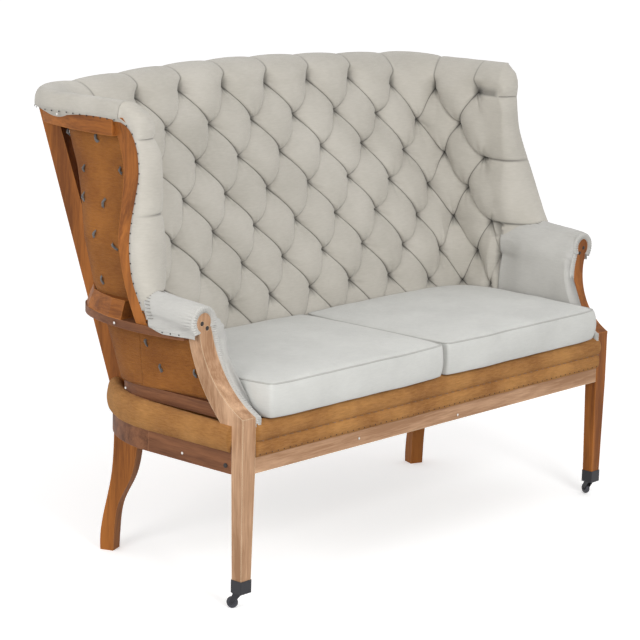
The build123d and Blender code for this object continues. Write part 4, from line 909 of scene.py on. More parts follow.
# %% Make the hessian panels
TIES = [(step / 2, row_height(row, step / 2)) for row in range(1, 7) for step in range(-7, 8)
        if (abs(step) + row) % 2 == 1]
WING_TIES = [(661, 1072), (527, 1073), (572, 994), (441, 1003), (562, 926), (482, 921), (496, 845), (421, 824),
             (463, 737)]   # depth and height
ARM_TIES = [(332, 600), (292, 543), (185, 547)]   # depth and height


def dimple(point):
    """How far the ties pull the hessian in at a point."""
    depth = 0.0
    for tie in TIE_POINTS:
        away = (point - tie).length * 1000.0
        if away < 70.0:
            depth += 3.0 * math.exp(-(away / 18.0) ** 1.3)
    return depth


def wing_column(depth, z):
    """The column at which the wing's hessian reaches a depth."""
    low, high = 3.8, END_COLUMN
    for _ in range(24):
        middle = (low + high) / 2
        if outer_point(middle, z)[1] > depth:
            low = middle
        else:
            high = middle
    return low


TIE_POINTS = [at(*outer_point(c, z)) for c, z in TIES]
TIE_POINTS += [at(*outer_point(hand * wing_column(d, z), z)) for d, z in WING_TIES for hand in (-1, 1)]
print("ties in the back:", len(TIES), "and in each wing:", len(WING_TIES))


# %% Stretch the panels
def stretched_sheet(sheet):
    add_wall(sheet, 0.002)


def hessian_sheet(name, low, high, steps, replaced):
    """A panel of hessian between two columns of the tub."""
    def place(u, v):
        column = mix(low, high, u)
        z = mix(FRAME_TOP, TUB_BOTTOM, v)
        return at(*outer_point(column, z, dimple(at(*outer_point(column, z)))))

    bm = pulled_grid(steps, 90, place)
    sheet = keep_mesh(name, bm)
    stretched_sheet(sheet)
    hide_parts(*replaced)
    return sheet


back_panel = hessian_sheet("back_panel", -4.0, 4.0, 200, ["back_hessian"])
wing_panels = [
    hessian_sheet("wing_panel_left", -END_COLUMN, -4.0, 50, ["wing_hessian_left"]),
    hessian_sheet("wing_panel_right", 4.0, END_COLUMN, 50, ["wing_hessian_right"]),
]


def arm_panel(hand, side):
    """The small panel under an arm plank."""
    def place(u, v):
        z = mix(642.0, TUB_BOTTOM, v)
        depth = mix(arc_at_height(POST_REAR, z) + 0.5, WING_DEPTH, u)
        pull = sum(2.5 * math.exp(-math.hypot(depth - d, z - h) / 14.0) for d, h in ARM_TIES)
        return at(hand * (arm_side(depth, z) - pull), depth, z)

    bm = pulled_grid(60, 32, place)
    sheet = keep_mesh(f"arm_panel_{side}", bm)
    stretched_sheet(sheet)
    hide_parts(f"arm_hessian_{side}")
    return sheet


arm_panels = [arm_panel(-1, "left"), arm_panel(1, "right")]

# %% [markdown]
# The seat's edge is a firm roll of hessian, stitched through so that it keeps its shape. On the front
# there are two swellings, with the stitched line between them. At the sides and back there is one, and
# it follows the rounded corners of the rail.

# %% Make the edge rolls
FRONT_ROLL = [   # depth, height
    (46, 399), (45, 428), (38, 446), (27, 455), (14, 460), (2, 458), (-7, 450), (-12, 437), (-11, 424),
    (-6, 414), (-2.5, 411), (-6, 406), (-8.5, 395), (-7.5, 383), (-3, 375), (1, 373), (1.2, 385), (1.5, 398),
    (20, 398),
]
ROLL_END = 678.6
SIDE_ROLL = [  # out from the rail's face, height
    (-30, 398), (-30, 430), (-22, 446), (-9, 451), (4, 446), (12, 433), (15, 415), (12, 398), (6, 388), (0.4, 386),
    (0.3, 392), (-2, 398), (-15, 398),
]


def front_roll():
    """The stitched roll along the front rail."""
    def place(u, v):
        x = mix(-ROLL_END, ROLL_END, v)
        d, z = loop_curve(FRONT_ROLL, u)
        lump = noise.noise(Vector((x / 45.0, z / 30.0, 0.0))) * 1.9
        if d < 0:
            d -= lump * ease((678 - abs(x)) / 20.0)
        return at(x, d, z)

    bm = pulled_grid(76, 560, place, closed=True)
    roll = keep_mesh("front_roll_hessian", bm)
    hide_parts("front_edge_roll")
    return roll


# %% Carry the roll round the corners
RAIL_CORNER = (398.0, 316.0, 326.0)   # half width and depth of the centre, radius
RAIL_START = 37.0                     # depth where the side rail leaves the front post
SIDE_LENGTH = RAIL_CORNER[1] - RAIL_START
TURN_LENGTH = RAIL_CORNER[2] * math.pi / 2


def rail_line(run):
    """Point and outward direction on the seat rail's face, from the front leg to the back's middle."""
    cx, cd, radius = RAIL_CORNER
    if run <= SIDE_LENGTH:
        return (cx + radius, RAIL_START + run), (1.0, 0.0)
    if run <= SIDE_LENGTH + TURN_LENGTH:
        turn = (run - SIDE_LENGTH) / radius
        return (cx + radius * math.cos(turn), cd + radius * math.sin(turn)), (math.cos(turn), math.sin(turn))
    return (cx - (run - SIDE_LENGTH - TURN_LENGTH), cd + radius), (0.0, 1.0)


def side_roll(hand, side):
    """The roll along one side rail, round the corner, to the back's middle."""
    whole = SIDE_LENGTH + TURN_LENGTH + RAIL_CORNER[0]

    def place(u, v):
        run = whole * v
        (x, d), (ox, od) = rail_line(run)
        out, z = loop_curve(SIDE_ROLL, u)
        grow = 8.0 * ease(run / 500.0)
        if z > 400:
            z += grow * (z - 400.0) / 50.0
        lump = noise.noise(Vector((run / 38.0, z / 26.0, 3.0 * hand))) * 2.2
        if out > 1:
            out += lump
        return at(hand * (x + ox * out), d + od * out, z)

    bm = pulled_grid(48, 420, place, closed=True)
    roll = keep_mesh(f"side_roll_hessian_{side}", bm)
    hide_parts(f"side_edge_roll_{side}", "back_edge_roll")
    return roll


edge_rolls = [front_roll(), side_roll(-1, "left"), side_roll(1, "right")]
print("edge rolls:", [roll.name for roll in edge_rolls])

# %% [markdown]
# Under the cushions lies a firm seat of stuffing under hessian. It barely shows, so it is a plain low
# form with rounded edges.

# %% Make the seat deck
bm = bmesh.new()
bmesh.ops.create_cube(bm, size=2.0)
for vert in bm.verts:
    a, b, c = vert.co
    vert.co = at(650.0 * a, mix(47.0, 484.0, (b + 1) / 2), mix(399.0, 459.0, (c + 1) / 2))
bmesh.ops.bevel(bm, geom=[e for e in bm.edges if abs(e.verts[0].co.z - e.verts[1].co.z) > 0.01], offset=0.09,
                segments=8, profile=0.5, affect="EDGES", material=-1)
bmesh.ops.bevel(bm, geom=[e for e in bm.edges if e.verts[0].co.z > 0.458 and e.verts[1].co.z > 0.458], offset=0.012,
                segments=4, profile=0.5, affect="EDGES", material=-1)
bmesh.ops.recalc_face_normals(bm, faces=bm.faces)
deck = keep_mesh("seat_deck_hessian", bm, smooth=False)
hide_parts("seat_deck")
print("deck faces:", len(deck.data.polygons))

# %% [markdown]
# Each buttoning twine comes out through the hessian, and is tied over a small folded scrap, so that it
# can't pull back through. Each scrap is a few short loops side by side, turned a little differently.

# %% Make the ties
def outward_of(place):
    """Outward and upward directions of the hessian at a column and height."""
    column, z = place
    here = at(*outer_point(column, z))
    over = at(*outer_point(column + 0.05, z)) - here
    up = at(*outer_point(column, z + 10.0)) - here
    out = over.cross(up).normalized()
    middle = at(0.0, 400.0, z)
    return (out if out.dot(here - middle) > 0 else -out), up.normalized()


# %% Tie the scraps
chance = random.Random(7)
bm = bmesh.new()
tie_places = [(c, z) for c, z in TIES] + [(hand * wing_column(d, z), z) for d, z in WING_TIES for hand in (-1, 1)]
tie_spots = [(at(*outer_point(*place)), *outward_of(place)) for place in tie_places]
for d, h in ARM_TIES:
    for hand in (-1, 1):
        tie_spots.append((at(hand * arm_side(d, h), d, h), Vector((hand, 0, 0)), Vector((0, 0, 1))))
for spot, out, up in tie_spots:
    across = out.cross(up)
    lean = chance.uniform(-0.7, 0.7)
    for _ in range(4):
        turn = lean + chance.uniform(-0.45, 0.45)
        way = up * math.cos(turn) + across * math.sin(turn)
        half = chance.uniform(0.007, 0.013)
        lift = chance.uniform(0.003, 0.006)
        side_step = across * chance.uniform(-0.0018, 0.0018)
        points = [spot + side_step + way * (half * (k / 4 - 1)) + out * (lift * math.sin(math.pi * k / 8) + 0.0002)
                  for k in range(9)]
        add_tube(bm, points, [0.0008 + 0.0015 * math.sin(math.pi * (k + 0.6) / 9.2) for k in range(9)])
bmesh.ops.remove_doubles(bm, verts=bm.verts, dist=0.00001)
bmesh.ops.holes_fill(bm, edges=[e for e in bm.edges if e.is_boundary], sides=0)
bmesh.ops.recalc_face_normals(bm, faces=bm.faces)
ties = keep_mesh("tie_scraps", bm)
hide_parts("tuft_ties")
print("ties:", len(tie_spots))

# %% [markdown]
# The linen's edge is held outside by a close row of black tacks, and the hessian by brown ones. Where the
# wing's cover meets the arm's, the two are sewn together by hand with short stitches, and the front roll
# has a row of twine stitches that holds its upper swelling. Small spots of white filler close old holes.

# %% Add tacks, stitches and filler
def add_stud(bm, spot, out, radius, tall, sides=8):
    """Add a small low dome, seen as a tack's head or a spot of filler."""
    turn = out.to_track_quat("Z", "Y").to_matrix().to_4x4()
    bmesh.ops.create_cone(bm, cap_ends=True, segments=sides, radius1=radius, radius2=radius * 0.45, depth=tall,
                          matrix=Matrix.Translation(spot + out * tall * 0.4) @ turn)


def even_run(points, step):
    """Points at equal steps along a line, with the direction of travel at each."""
    found, left = [], step / 2
    for a, b in zip(points, points[1:]):
        length = (b - a).length
        while left <= length:
            found.append((a.lerp(b, left / length), (b - a).normalized()))
            left += step
        left -= length
    return found


# %% Set the tacks
TACK = (0.0021, 0.0013)          # radius and height of a black tack's head
BROWN_TACK = (0.0019, 0.0012)
TACK_STEP, TOP_STEP, BROWN_STEP = 0.024, 0.025, 0.020


def facing_out(way, spot, centre):
    """The level direction square to a run of tacks, away from a centre."""
    out = Vector((way.y, -way.x, 0))
    return out if out.dot(spot - centre) > 0 else -out


black_tacks, brown_tacks, seam_thread, twine_thread, filler = (bmesh.new() for _ in range(5))
for hand in (-1, 1):
    post = [at(hand * (through(TACKS, z)[0] + 0.6), through(TACKS, z)[1] - 2.2, z) for z in range(1130, 664, -8)]
    for spot, _ in even_run(post, TACK_STEP):
        add_stud(black_tacks, spot, Vector((hand, 0.1, 0)).normalized(), *TACK)
    plank = [at(hand * (plank_edge(d) + 3.0), d, plank_under(d) + 4.0) for d in range(150, 252, 6)]
    for spot, _ in even_run(plank, TACK_STEP):
        add_stud(black_tacks, spot, Vector((hand, 0, 0)), *TACK)
    low_edge = []
    for k in range(64):
        (x, d), (ox, od) = rail_line(6.0 + k * 14.0)
        low_edge.append(at(hand * (x + ox * 3.0), d + od * 3.0, 390.5))
    for spot, way in even_run(low_edge, BROWN_STEP):
        add_stud(brown_tacks, spot, facing_out(way, spot, at(0, 300, 390)), *BROWN_TACK)
top_edge = [at(*rail_outer(c / 20), FRAME_TOP - 7.0) for c in range(-120, 121)]
for spot, way in even_run(top_edge, TOP_STEP):
    add_stud(black_tacks, spot, facing_out(way, spot, at(0, 300, FRAME_TOP)), *TACK)
for k in range(66):
    add_stud(brown_tacks, at(-670.0 + k * 20.6, -7.4, 379.5), Vector((0, -1, 0)), *BROWN_TACK)

# %% Sew the stitches
STITCH = 13.0          # length of a stitch
TWINE_STEP = 25.2
SEAM_RADIUS = 40.5     # of the curved seam over the arm's roll


def bow(t):
    """How far a stitch stands up at each of its seven points, 0 to 1."""
    return math.sin(math.pi * t / 6)


for k in range(54):
    x = -668.0 + k * TWINE_STEP
    points = [at(x + STITCH * t / 6, -4.6 - 1.6 * bow(t), 411.5 + 0.8 * math.sin(t)) for t in range(7)]
    add_tube(twine_thread, points, 0.0007)
for hand in (-1, 1):
    for k in range(15):
        angle = math.radians(-22.0 + 11.0 * k)
        cx, cz = SCROLL[0] + 3 + 6.0, SCROLL[1] + 3 + 9.0
        x, z = cx + SEAM_RADIUS * math.cos(angle), cz + SEAM_RADIUS * math.sin(angle)
        depth = through(FRONTS, max(z, 662.0))[0]
        away = Vector((hand * math.cos(angle), 0, math.sin(angle)))
        start = at(hand * x, depth - 7.0, z) + away * 0.0004
        points = [start + Vector((0, STITCH / 1000.0 * t / 6, 0)) + away * (0.0035 * (t / 6) ** 2 + 0.0012 * bow(t))
                  for t in range(7)]
        add_tube(seam_thread, points, 0.0010)

# %% Fill the old holes, and cover the scrolls' screw holes with dark discs of painted shade
SPOT = (0.0036, 0.0010, 12)                 # radius, height and sides of a spot of filler
HOLE_SHADE_DISC = (0.0060, 0.0010, 14)
SCREWS = ((748.0, 686.0), (731.0, 673.0))   # half width, height
FILLER = [  # half width, depth, height, and the way each spot faces
    (-751.5, 618, 1126, (-1, 0.1, 0)), (-731.0, 362, 967, (-1, 0, 0)), (-788.2, 371, 652, (-1, 0, 0)),
    (-706.3, 417, 470, (-1, 0, 0)), (-724.3, 199, 352, (-1, 0, 0)), (74, -0.3, 345, (0, -1, 0)),
    (751.5, 560, 1122, (1, 0.1, 0)), (724.3, 150, 360, (1, 0, 0)), (-310, -0.3, 352, (0, -1, 0)),
]
for x, d, z, out in FILLER:
    add_stud(filler, at(x, d, z), Vector(out).normalized(), *SPOT)
# A dark disc over each screw hole in the scroll paints the shade inside the hole.
hole_shade_discs = bmesh.new()
for hand in (-1, 1):
    for x, z in SCREWS:
        add_stud(hole_shade_discs, at(hand * x, 113.0, z), Vector((0, -1, 0)), *HOLE_SHADE_DISC)


def keep_small(bm, name, body="frame"):
    """Close and keep a set of small pieces as one object."""
    bmesh.ops.remove_doubles(bm, verts=bm.verts, dist=0.00001)
    rim = [edge for edge in bm.edges if edge.is_boundary]
    if rim:
        bmesh.ops.holes_fill(bm, edges=rim, sides=0)
    bmesh.ops.recalc_face_normals(bm, faces=bm.faces)
    piece = keep_mesh(name, bm, body)
    return piece


# %% Keep the small pieces
black_tacks = keep_small(black_tacks, "black_tacks")
brown_tacks = keep_small(brown_tacks, "brown_tacks")
seam_thread = keep_small(seam_thread, "seam_stitches")
twine_thread = keep_small(twine_thread, "roll_stitches")
filler = keep_small(filler, "filler_spots")
hole_shade_discs = keep_small(hole_shade_discs, "screw_hole_shade_discs")
print("small pieces:", [piece.name for piece in (black_tacks, brown_tacks, seam_thread, twine_thread, filler, hole_shade_discs)])

# %% [markdown]
# Under the seat, straps of webbing are laced over and under each other and tacked below the rails. On
# them stand the coil springs, narrow in the middle and wide at both ends.

# %% Make the webbing and springs
def strap_ends(offset):
    """How far the seat's rounded plan reaches at a distance along its side or from its middle."""
    return 316.0 + math.sqrt(max(300.0**2 - max(offset - 398.0, 0.0) ** 2, 0.0))


LONG_STRAPS = [96.0, 186.0, 276.0, 366.0, 456.0, 546.0]
CROSS_STRAPS = [-600.0, -450.0, -300.0, -150.0, 0.0, 150.0, 300.0, 450.0, 600.0]
STRAP = 50.0
STRAP_HEIGHT = 332.6
LACE = 0.7             # how far a strap goes over and under
bm = bmesh.new()
for row, depth in enumerate(LONG_STRAPS):
    reach = 680.0 if depth < 316.0 else 398.0 + math.sqrt(300.0**2 - (depth - 316.0) ** 2) - 6.0
    for vert in bmesh.ops.create_grid(bm, x_segments=110, y_segments=3, size=1.0)["verts"]:
        x = reach * vert.co.x
        lace = math.cos(math.pi * (x / 150.0 + row)) * LACE
        vert.co = at(x, depth + STRAP / 2 * vert.co.y, STRAP_HEIGHT + lace * (abs(x) < 640))
for column, x in enumerate(CROSS_STRAPS):
    end = strap_ends(abs(x)) - 6.0
    for vert in bmesh.ops.create_grid(bm, x_segments=3, y_segments=60, size=1.0)["verts"]:
        depth = mix(20.0, end, (vert.co.y + 1) / 2)
        lace = -math.cos(math.pi * ((depth - 96.0) / 90.0 + column)) * LACE
        vert.co = at(x + STRAP / 2 * vert.co.x, depth, STRAP_HEIGHT + lace * (60 < depth < end - 30))
bmesh.ops.recalc_face_normals(bm, faces=bm.faces)
straps = keep_mesh("webbing_straps", bm)
add_wall(straps, 0.001)
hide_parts("seat_webbing")

# %% Stand the springs on the webbing
SPRING_FOOT, SPRING_TALL, SPRING_TURNS = 337.2, 57.8, 4.5
SPRING_RADIUS, WAIST = 35.5, 12.0
bm = bmesh.new()
for x in (-518, -370, -74, 74, 370, 518):
    for depth in (150, 300, 450):
        points = []
        for k in range(97):
            share = k / 96
            turn = share * SPRING_TURNS * 2 * math.pi
            wide = SPRING_RADIUS - WAIST * math.sin(math.pi * share)
            place = (x + wide * math.cos(turn), depth + wide * math.sin(turn), SPRING_FOOT + SPRING_TALL * share)
            points.append(at(*place))
        add_tube(bm, points, 0.0019)
springs = keep_small(bm, "coil_springs")
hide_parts("seat_springs")

# %% [markdown]
# Materials. The linen is a plain weave, so two crossed waves make its threads, with soft slubs and a
# slow change of tone. Hessian is the same idea, coarser and browner. The weave is one node group that
# every cloth uses with its own thread size.

# %% Short ways to add shader nodes
def add_node(tree, kind, **inputs):
    """Add a shader node, and set its inputs by name."""
    node = tree.nodes.new(kind)
    for key, value in inputs.items():
        node.inputs[key.replace("_", " ")].default_value = value
    return node


def calc(tree, operation, *values):
    """A Math node's result; each value is a number, or a socket to link."""
    node = tree.nodes.new("ShaderNodeMath")
    node.operation = operation
    for socket, value in zip(node.inputs, values):
        if isinstance(value, float):
            socket.default_value = value
        else:
            tree.links.new(value, socket)
    return node.outputs[0]


def two_tones(tree, share, places, dark, light):
    """A colour between two tones, by a share that changes over the surface."""
    ramp = tree.nodes.new("ShaderNodeValToRGB")
    for end, place, tone in zip(ramp.color_ramp.elements, places, (dark, light)):
        end.position = place
        end.color = (*tone, 1)
    tree.links.new(share, ramp.inputs[0])
    return ramp.outputs[0]


def start_material(name, **values):
    """A new material, with its plain values on the shader's own sockets."""
    material = bpy.data.materials.new(name)
    material.use_nodes = True
    shader = material.node_tree.nodes["Principled BSDF"]
    for key, value in values.items():
        shader.inputs[key.replace("_", " ")].default_value = value
    return material, material.node_tree, shader


def raise_by(tree, height, strength, distance):
    """Shade a material as if a height raised its surface."""
    raised = add_node(tree, "ShaderNodeBump", Strength=strength, Distance=distance)
    tree.links.new(height, raised.inputs["Height"])
    tree.links.new(raised.outputs[0], tree.nodes["Principled BSDF"].inputs["Normal"])


# %% A weave as a node group
def make_weave():
    """The threads of a plain weave, as a height, and a slow change of tone."""
    group = bpy.data.node_groups.new("weave", "ShaderNodeTree")
    face = group.interface
    face.new_socket("Thread", in_out="INPUT", socket_type="NodeSocketFloat").default_value = 900.0
    face.new_socket("Slub", in_out="INPUT", socket_type="NodeSocketFloat").default_value = 0.5
    face.new_socket("Height", in_out="OUTPUT", socket_type="NodeSocketFloat")
    face.new_socket("Tone", in_out="OUTPUT", socket_type="NodeSocketFloat")
    into, out = group.nodes.new("NodeGroupInput"), group.nodes.new("NodeGroupOutput")
    coords = group.nodes.new("ShaderNodeTexCoord")
    split = group.nodes.new("ShaderNodeSeparateXYZ")
    stretch = add_node(group, "ShaderNodeMapping", Scale=(0.35, 0.35, 2.0))
    slub = add_node(group, "ShaderNodeTexNoise", Scale=160.0, Detail=3.0)
    cloud = add_node(group, "ShaderNodeTexNoise", Scale=7.0, Detail=4.0)
    link = group.links.new
    for socket in (split.inputs[0], stretch.inputs[0], cloud.inputs["Vector"]):
        link(coords.outputs["Object"], socket)
    link(stretch.outputs[0], slub.inputs["Vector"])
    x, y, z = (calc(group, "SINE", calc(group, "MULTIPLY", part, into.outputs["Thread"])) for part in split.outputs)
    threads = calc(group, "ADD", calc(group, "MULTIPLY", x, z), calc(group, "MULTIPLY", y, z))
    fleck = slub.outputs["Fac"]
    link(calc(group, "MULTIPLY_ADD", fleck, into.outputs["Slub"], threads), out.inputs["Height"])
    link(calc(group, "MULTIPLY_ADD", fleck, 0.45, cloud.outputs["Fac"]), out.inputs["Tone"])
    return group


weave = make_weave()
print("weave nodes:", len(weave.nodes))

# %% A cloth made of the weave
def cloth_material(name, dark, light, thread, slub, bump, crease=None, places=(0.35, 0.95), sheen=0.25):
    """A woven cloth: two tones, a thread size, and painted shade in folds and tufts if the piece carries a shade
    value.
    """
    material, tree, shader = start_material(name, Roughness=0.9, Sheen_Weight=sheen, Sheen_Roughness=0.5,
                                            Specular_IOR_Level=0.2)
    cloth = tree.nodes.new("ShaderNodeGroup")
    cloth.node_tree = weave
    cloth.inputs["Thread"].default_value = thread
    cloth.inputs["Slub"].default_value = slub
    colour = two_tones(tree, cloth.outputs["Tone"], places, dark, light)
    # The piece's shade value multiplies the colour: painted shade in folds and tufts, down to crease at the darkest.
    if crease:
        depth = tree.nodes.new("ShaderNodeAttribute")
        depth.attribute_name = "cloth"
        parts = tree.nodes.new("ShaderNodeSeparateXYZ")
        shade = add_node(tree, "ShaderNodeMapRange", To_Min=crease, To_Max=1.0)
        darken = tree.nodes.new("ShaderNodeMix")
        darken.data_type = "RGBA"
        darken.blend_type = "MULTIPLY"
        darken.inputs["Factor"].default_value = 1.0
        tree.links.new(depth.outputs["Vector"], parts.inputs[0])
        tree.links.new(parts.outputs[2], shade.inputs[0])
        tree.links.new(colour, darken.inputs[6])
        tree.links.new(shade.outputs[0], darken.inputs[7])
        colour = darken.outputs[2]
    tree.links.new(colour, shader.inputs["Base Color"])
    raise_by(tree, cloth.outputs["Height"], bump, 0.0006)
    return material


def dress(piece, material):
    piece.data.materials.clear()
    piece.data.materials.append(material)


# %% Dress the soft pieces
HESSIAN = {"places": (0.42, 0.92), "sheen": 0.05}
# The tufted linen carries painted shade in its folds and tufts, down to 0.06 of its colour.
linen = cloth_material("linen", (0.41, 0.385, 0.335), (0.53, 0.50, 0.445), 5200.0, 0.6, 0.35, crease=0.06)
strip_linen = cloth_material("pale_linen", (0.43, 0.42, 0.395), (0.535, 0.525, 0.495), 5200.0, 0.6, 0.35)
cushion_linen = cloth_material("cushion_linen", (0.51, 0.51, 0.485), (0.615, 0.615, 0.585), 5200.0, 0.6, 0.3)
# The piping's linen is darker than the cushion's: painted shade along the seams.
piping_seam_shade_linen = cloth_material("piping_seam_shade_linen", (0.38, 0.375, 0.35), (0.48, 0.475, 0.45), 5200.0, 0.6, 0.3)
hessian = cloth_material("hessian", (0.19, 0.055, 0.008), (0.43, 0.16, 0.030), 2700.0, 3.0, 1.0, **HESSIAN)
roll_hessian = cloth_material("roll_hessian", (0.29, 0.11, 0.024), (0.60, 0.29, 0.085), 2700.0, 3.0, 1.0, **HESSIAN)
grey_scrap = cloth_material("grey_scrap", (0.07, 0.065, 0.06), (0.22, 0.21, 0.20), 3000.0, 1.0, 0.8)
pale_thread = cloth_material("pale_thread", (0.20, 0.19, 0.17), (0.34, 0.32, 0.29), 9000.0, 0.6, 0.5)
brown_twine = cloth_material("brown_twine", (0.20, 0.10, 0.04), (0.36, 0.20, 0.10), 7000.0, 0.8, 0.5)
strap_cloth = cloth_material("strap_cloth", (0.16, 0.11, 0.06), (0.34, 0.25, 0.15), 2600.0, 1.0, 0.8)

dress(tufted_linen, linen)
for piece in arms + strips:
    dress(piece, strip_linen)
for cushion, piping in cushions:
    dress(cushion, cushion_linen)
    dress(piping, piping_seam_shade_linen)
for piece in [back_panel, deck] + wing_panels + arm_panels:
    dress(piece, hessian)
for piece in edge_rolls:
    dress(piece, roll_hessian)
dress(ties, grey_scrap)
dress(seam_thread, pale_thread)
dress(twine_thread, brown_twine)
dress(straps, strap_cloth)
print("materials so far:", len(bpy.data.materials))

# %% [markdown]
# The frame is beech, stained by age to a warm brown. Its grain runs along each piece, so the noise is
# stretched along the piece's long side. Edges are rubbed paler: a Bevel node rounds the normal near an
# edge, and where it leaves the true normal, the rubbed tone comes in.

# %% Wood, with its grain along each piece
def make_grain():
    """Wood grain, as a colour share and a height."""
    group = bpy.data.node_groups.new("grain", "ShaderNodeTree")
    face = group.interface
    face.new_socket("Vector", in_out="INPUT", socket_type="NodeSocketVector")
    face.new_socket("Colour", in_out="OUTPUT", socket_type="NodeSocketFloat")
    face.new_socket("Height", in_out="OUTPUT", socket_type="NodeSocketFloat")
    into, out = group.nodes.new("NodeGroupInput"), group.nodes.new("NodeGroupOutput")
    rings = add_node(group, "ShaderNodeTexNoise", Scale=26.0, Detail=5.0, Roughness=0.6, Distortion=0.5)
    fine = add_node(group, "ShaderNodeTexNoise", Scale=220.0, Detail=3.0, Roughness=0.7)
    group.links.new(into.outputs[0], rings.inputs["Vector"])
    group.links.new(into.outputs[0], fine.inputs["Vector"])
    colour = calc(group, "MULTIPLY_ADD", fine.outputs["Fac"], 0.4, rings.outputs["Fac"])
    group.links.new(colour, out.inputs["Colour"])
    group.links.new(fine.outputs["Fac"], out.inputs["Height"])
    return group


grain = make_grain()


def wood_material(name, along, dark, light):
    """Oiled wood, with its grain stretched one way and its edges rubbed paler."""
    material, tree, shader = start_material(name, Roughness=0.6, Specular_IOR_Level=0.25)
    coords = tree.nodes.new("ShaderNodeTexCoord")
    stretch = add_node(tree, "ShaderNodeMapping", Scale=along)
    tree.links.new(coords.outputs["Object"], stretch.inputs[0])
    cells = tree.nodes.new("ShaderNodeGroup")
    cells.node_tree = grain
    tree.links.new(stretch.outputs[0], cells.inputs[0])
    colour = two_tones(tree, cells.outputs["Colour"], (0.55, 0.86), dark, light)
    true = tree.nodes.new("ShaderNodeNewGeometry")
    rounded = add_node(tree, "ShaderNodeBevel", Radius=0.0035)
    rounded.samples = 4
    along_edge = tree.nodes.new("ShaderNodeVectorMath")
    along_edge.operation = "DOT_PRODUCT"
    tree.links.new(true.outputs["True Normal"], along_edge.inputs[0])
    tree.links.new(rounded.outputs[0], along_edge.inputs[1])
    sharp = add_node(tree, "ShaderNodeMapRange", From_Min=0.995, From_Max=0.80, To_Max=0.75)
    tree.links.new(along_edge.outputs["Value"], sharp.inputs[0])
    rub = tree.nodes.new("ShaderNodeMix")
    rub.data_type = "RGBA"
    rub.inputs[7].default_value = (min(light[0] * 1.35, 0.7), light[1] * 1.5, light[2] * 1.7, 1)
    tree.links.new(sharp.outputs[0], rub.inputs["Factor"])
    tree.links.new(colour, rub.inputs[6])
    tree.links.new(rub.outputs[2], shader.inputs["Base Color"])
    raise_by(tree, cells.outputs["Height"], 0.15, 0.0008)
    return material


# %% The shades of the wood
UPRIGHT, ACROSS, DEEP = (1.0, 1.0, 0.07), (0.07, 1.0, 1.0), (1.0, 0.07, 1.0)
TONES = {  # dark and light grain of each shade of wood
    "worn": ((0.31, 0.165, 0.085), (0.60, 0.375, 0.23)),
    "honey": ((0.16, 0.048, 0.008), (0.37, 0.125, 0.022)),
    "brown": ((0.085, 0.028, 0.010), (0.215, 0.085, 0.035)),
}
woods = {(tone, k): wood_material(f"beech_{tone}_{k}", way, *TONES[tone])
         for tone in TONES for k, way in enumerate((ACROSS, DEEP, UPRIGHT))}
print("woods:", len(woods))


# %% Metal and filler
def plain_material(name, colour, rough, metal=0.0):
    """Metal or filler: one colour broken up by a fine noise in tone and roughness."""
    material, tree, shader = start_material(name, Metallic=metal)
    coords = tree.nodes.new("ShaderNodeTexCoord")
    cells = add_node(tree, "ShaderNodeTexNoise", Scale=60.0, Detail=4.0)
    tree.links.new(coords.outputs["Object"], cells.inputs["Vector"])
    dark, light = [c * 0.75 for c in colour], [min(c * 1.25, 1.0) for c in colour]
    tree.links.new(two_tones(tree, cells.outputs["Fac"], (0.3, 0.7), dark, light), shader.inputs["Base Color"])
    shine = add_node(tree, "ShaderNodeMapRange", To_Min=max(rough - 0.12, 0.05), To_Max=min(rough + 0.12, 1.0))
    tree.links.new(cells.outputs["Fac"], shine.inputs[0])
    tree.links.new(shine.outputs[0], shader.inputs["Roughness"])
    return material


iron = plain_material("caster_iron", (0.010, 0.010, 0.014), 0.5, 0.1)
wheel_iron = plain_material("wheel_iron", (0.05, 0.05, 0.06), 0.4, 0.5)
# Near-black for the screw holes: painted shade.
dark_hole = plain_material("screw_hole_shade", (0.02, 0.014, 0.012), 0.7)
tack_black = plain_material("tack_black", (0.02, 0.02, 0.022), 0.45, 0.5)
tack_brown = plain_material("tack_brown", (0.09, 0.045, 0.025), 0.5, 0.4)
spring_wire = plain_material("spring_wire", (0.16, 0.15, 0.14), 0.4, 0.9)
white_filler = plain_material("white_filler", (0.72, 0.69, 0.65), 0.85)
dress(black_tacks, tack_black)
dress(brown_tacks, tack_brown)
dress(springs, spring_wire)
dress(filler, white_filler)
dress(hole_shade_discs, dark_hole)

# %% Dress the frame
for name, node in nodes.items():
    low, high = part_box(name)
    size = high - low
    way = 2 if size.z >= max(size.x, size.y) else 0 if size.x >= size.y else 1
    if "caster_wheel" in name:
        dress(node, wheel_iron)
    elif "caster" in name:
        dress(node, iron)
    # The screws and bolts are dressed in the same near-black: painted shade of the holes they sit in.
    elif name in ("scroll_screws", "frame_bolts"):
        dress(node, dark_hole)
    elif name == "front_post_right":
        dress(node, woods["honey", way])
    elif name.startswith(("front_post", "front_seat_rail")):
        dress(node, woods["worn", way])
    elif name.startswith(("wing_post", "wing_top_rail", "crest_rail", "rear_post", "back_stile", "arm_block")):
        dress(node, woods["honey", way])
    else:
        dress(node, woods["brown", way])
print("dressed nodes:", len(nodes))

# %% [markdown]
# The studio: a white floor, soft light all round with two lamps in front, and a camera where the
# photograph was taken from. To the camera, and in glossy surfaces, floor and backdrop are white, but they
# send only plain light to the settee, so its colours stay true.

# %% Show white to the camera only
def show_when_seen(tree, plain, seen, end):
    """Send one shader to the camera and to glossy surfaces, and another to all other light."""
    look = tree.nodes.new("ShaderNodeLightPath")
    pick = tree.nodes.new("ShaderNodeMixShader")
    either = calc(tree, "ADD", look.outputs["Is Camera Ray"], look.outputs["Is Glossy Ray"])
    either.node.use_clamp = True
    tree.links.new(either, pick.inputs[0])
    tree.links.new(plain, pick.inputs[1])
    tree.links.new(seen, pick.inputs[2])
    tree.links.new(pick.outputs[0], end)


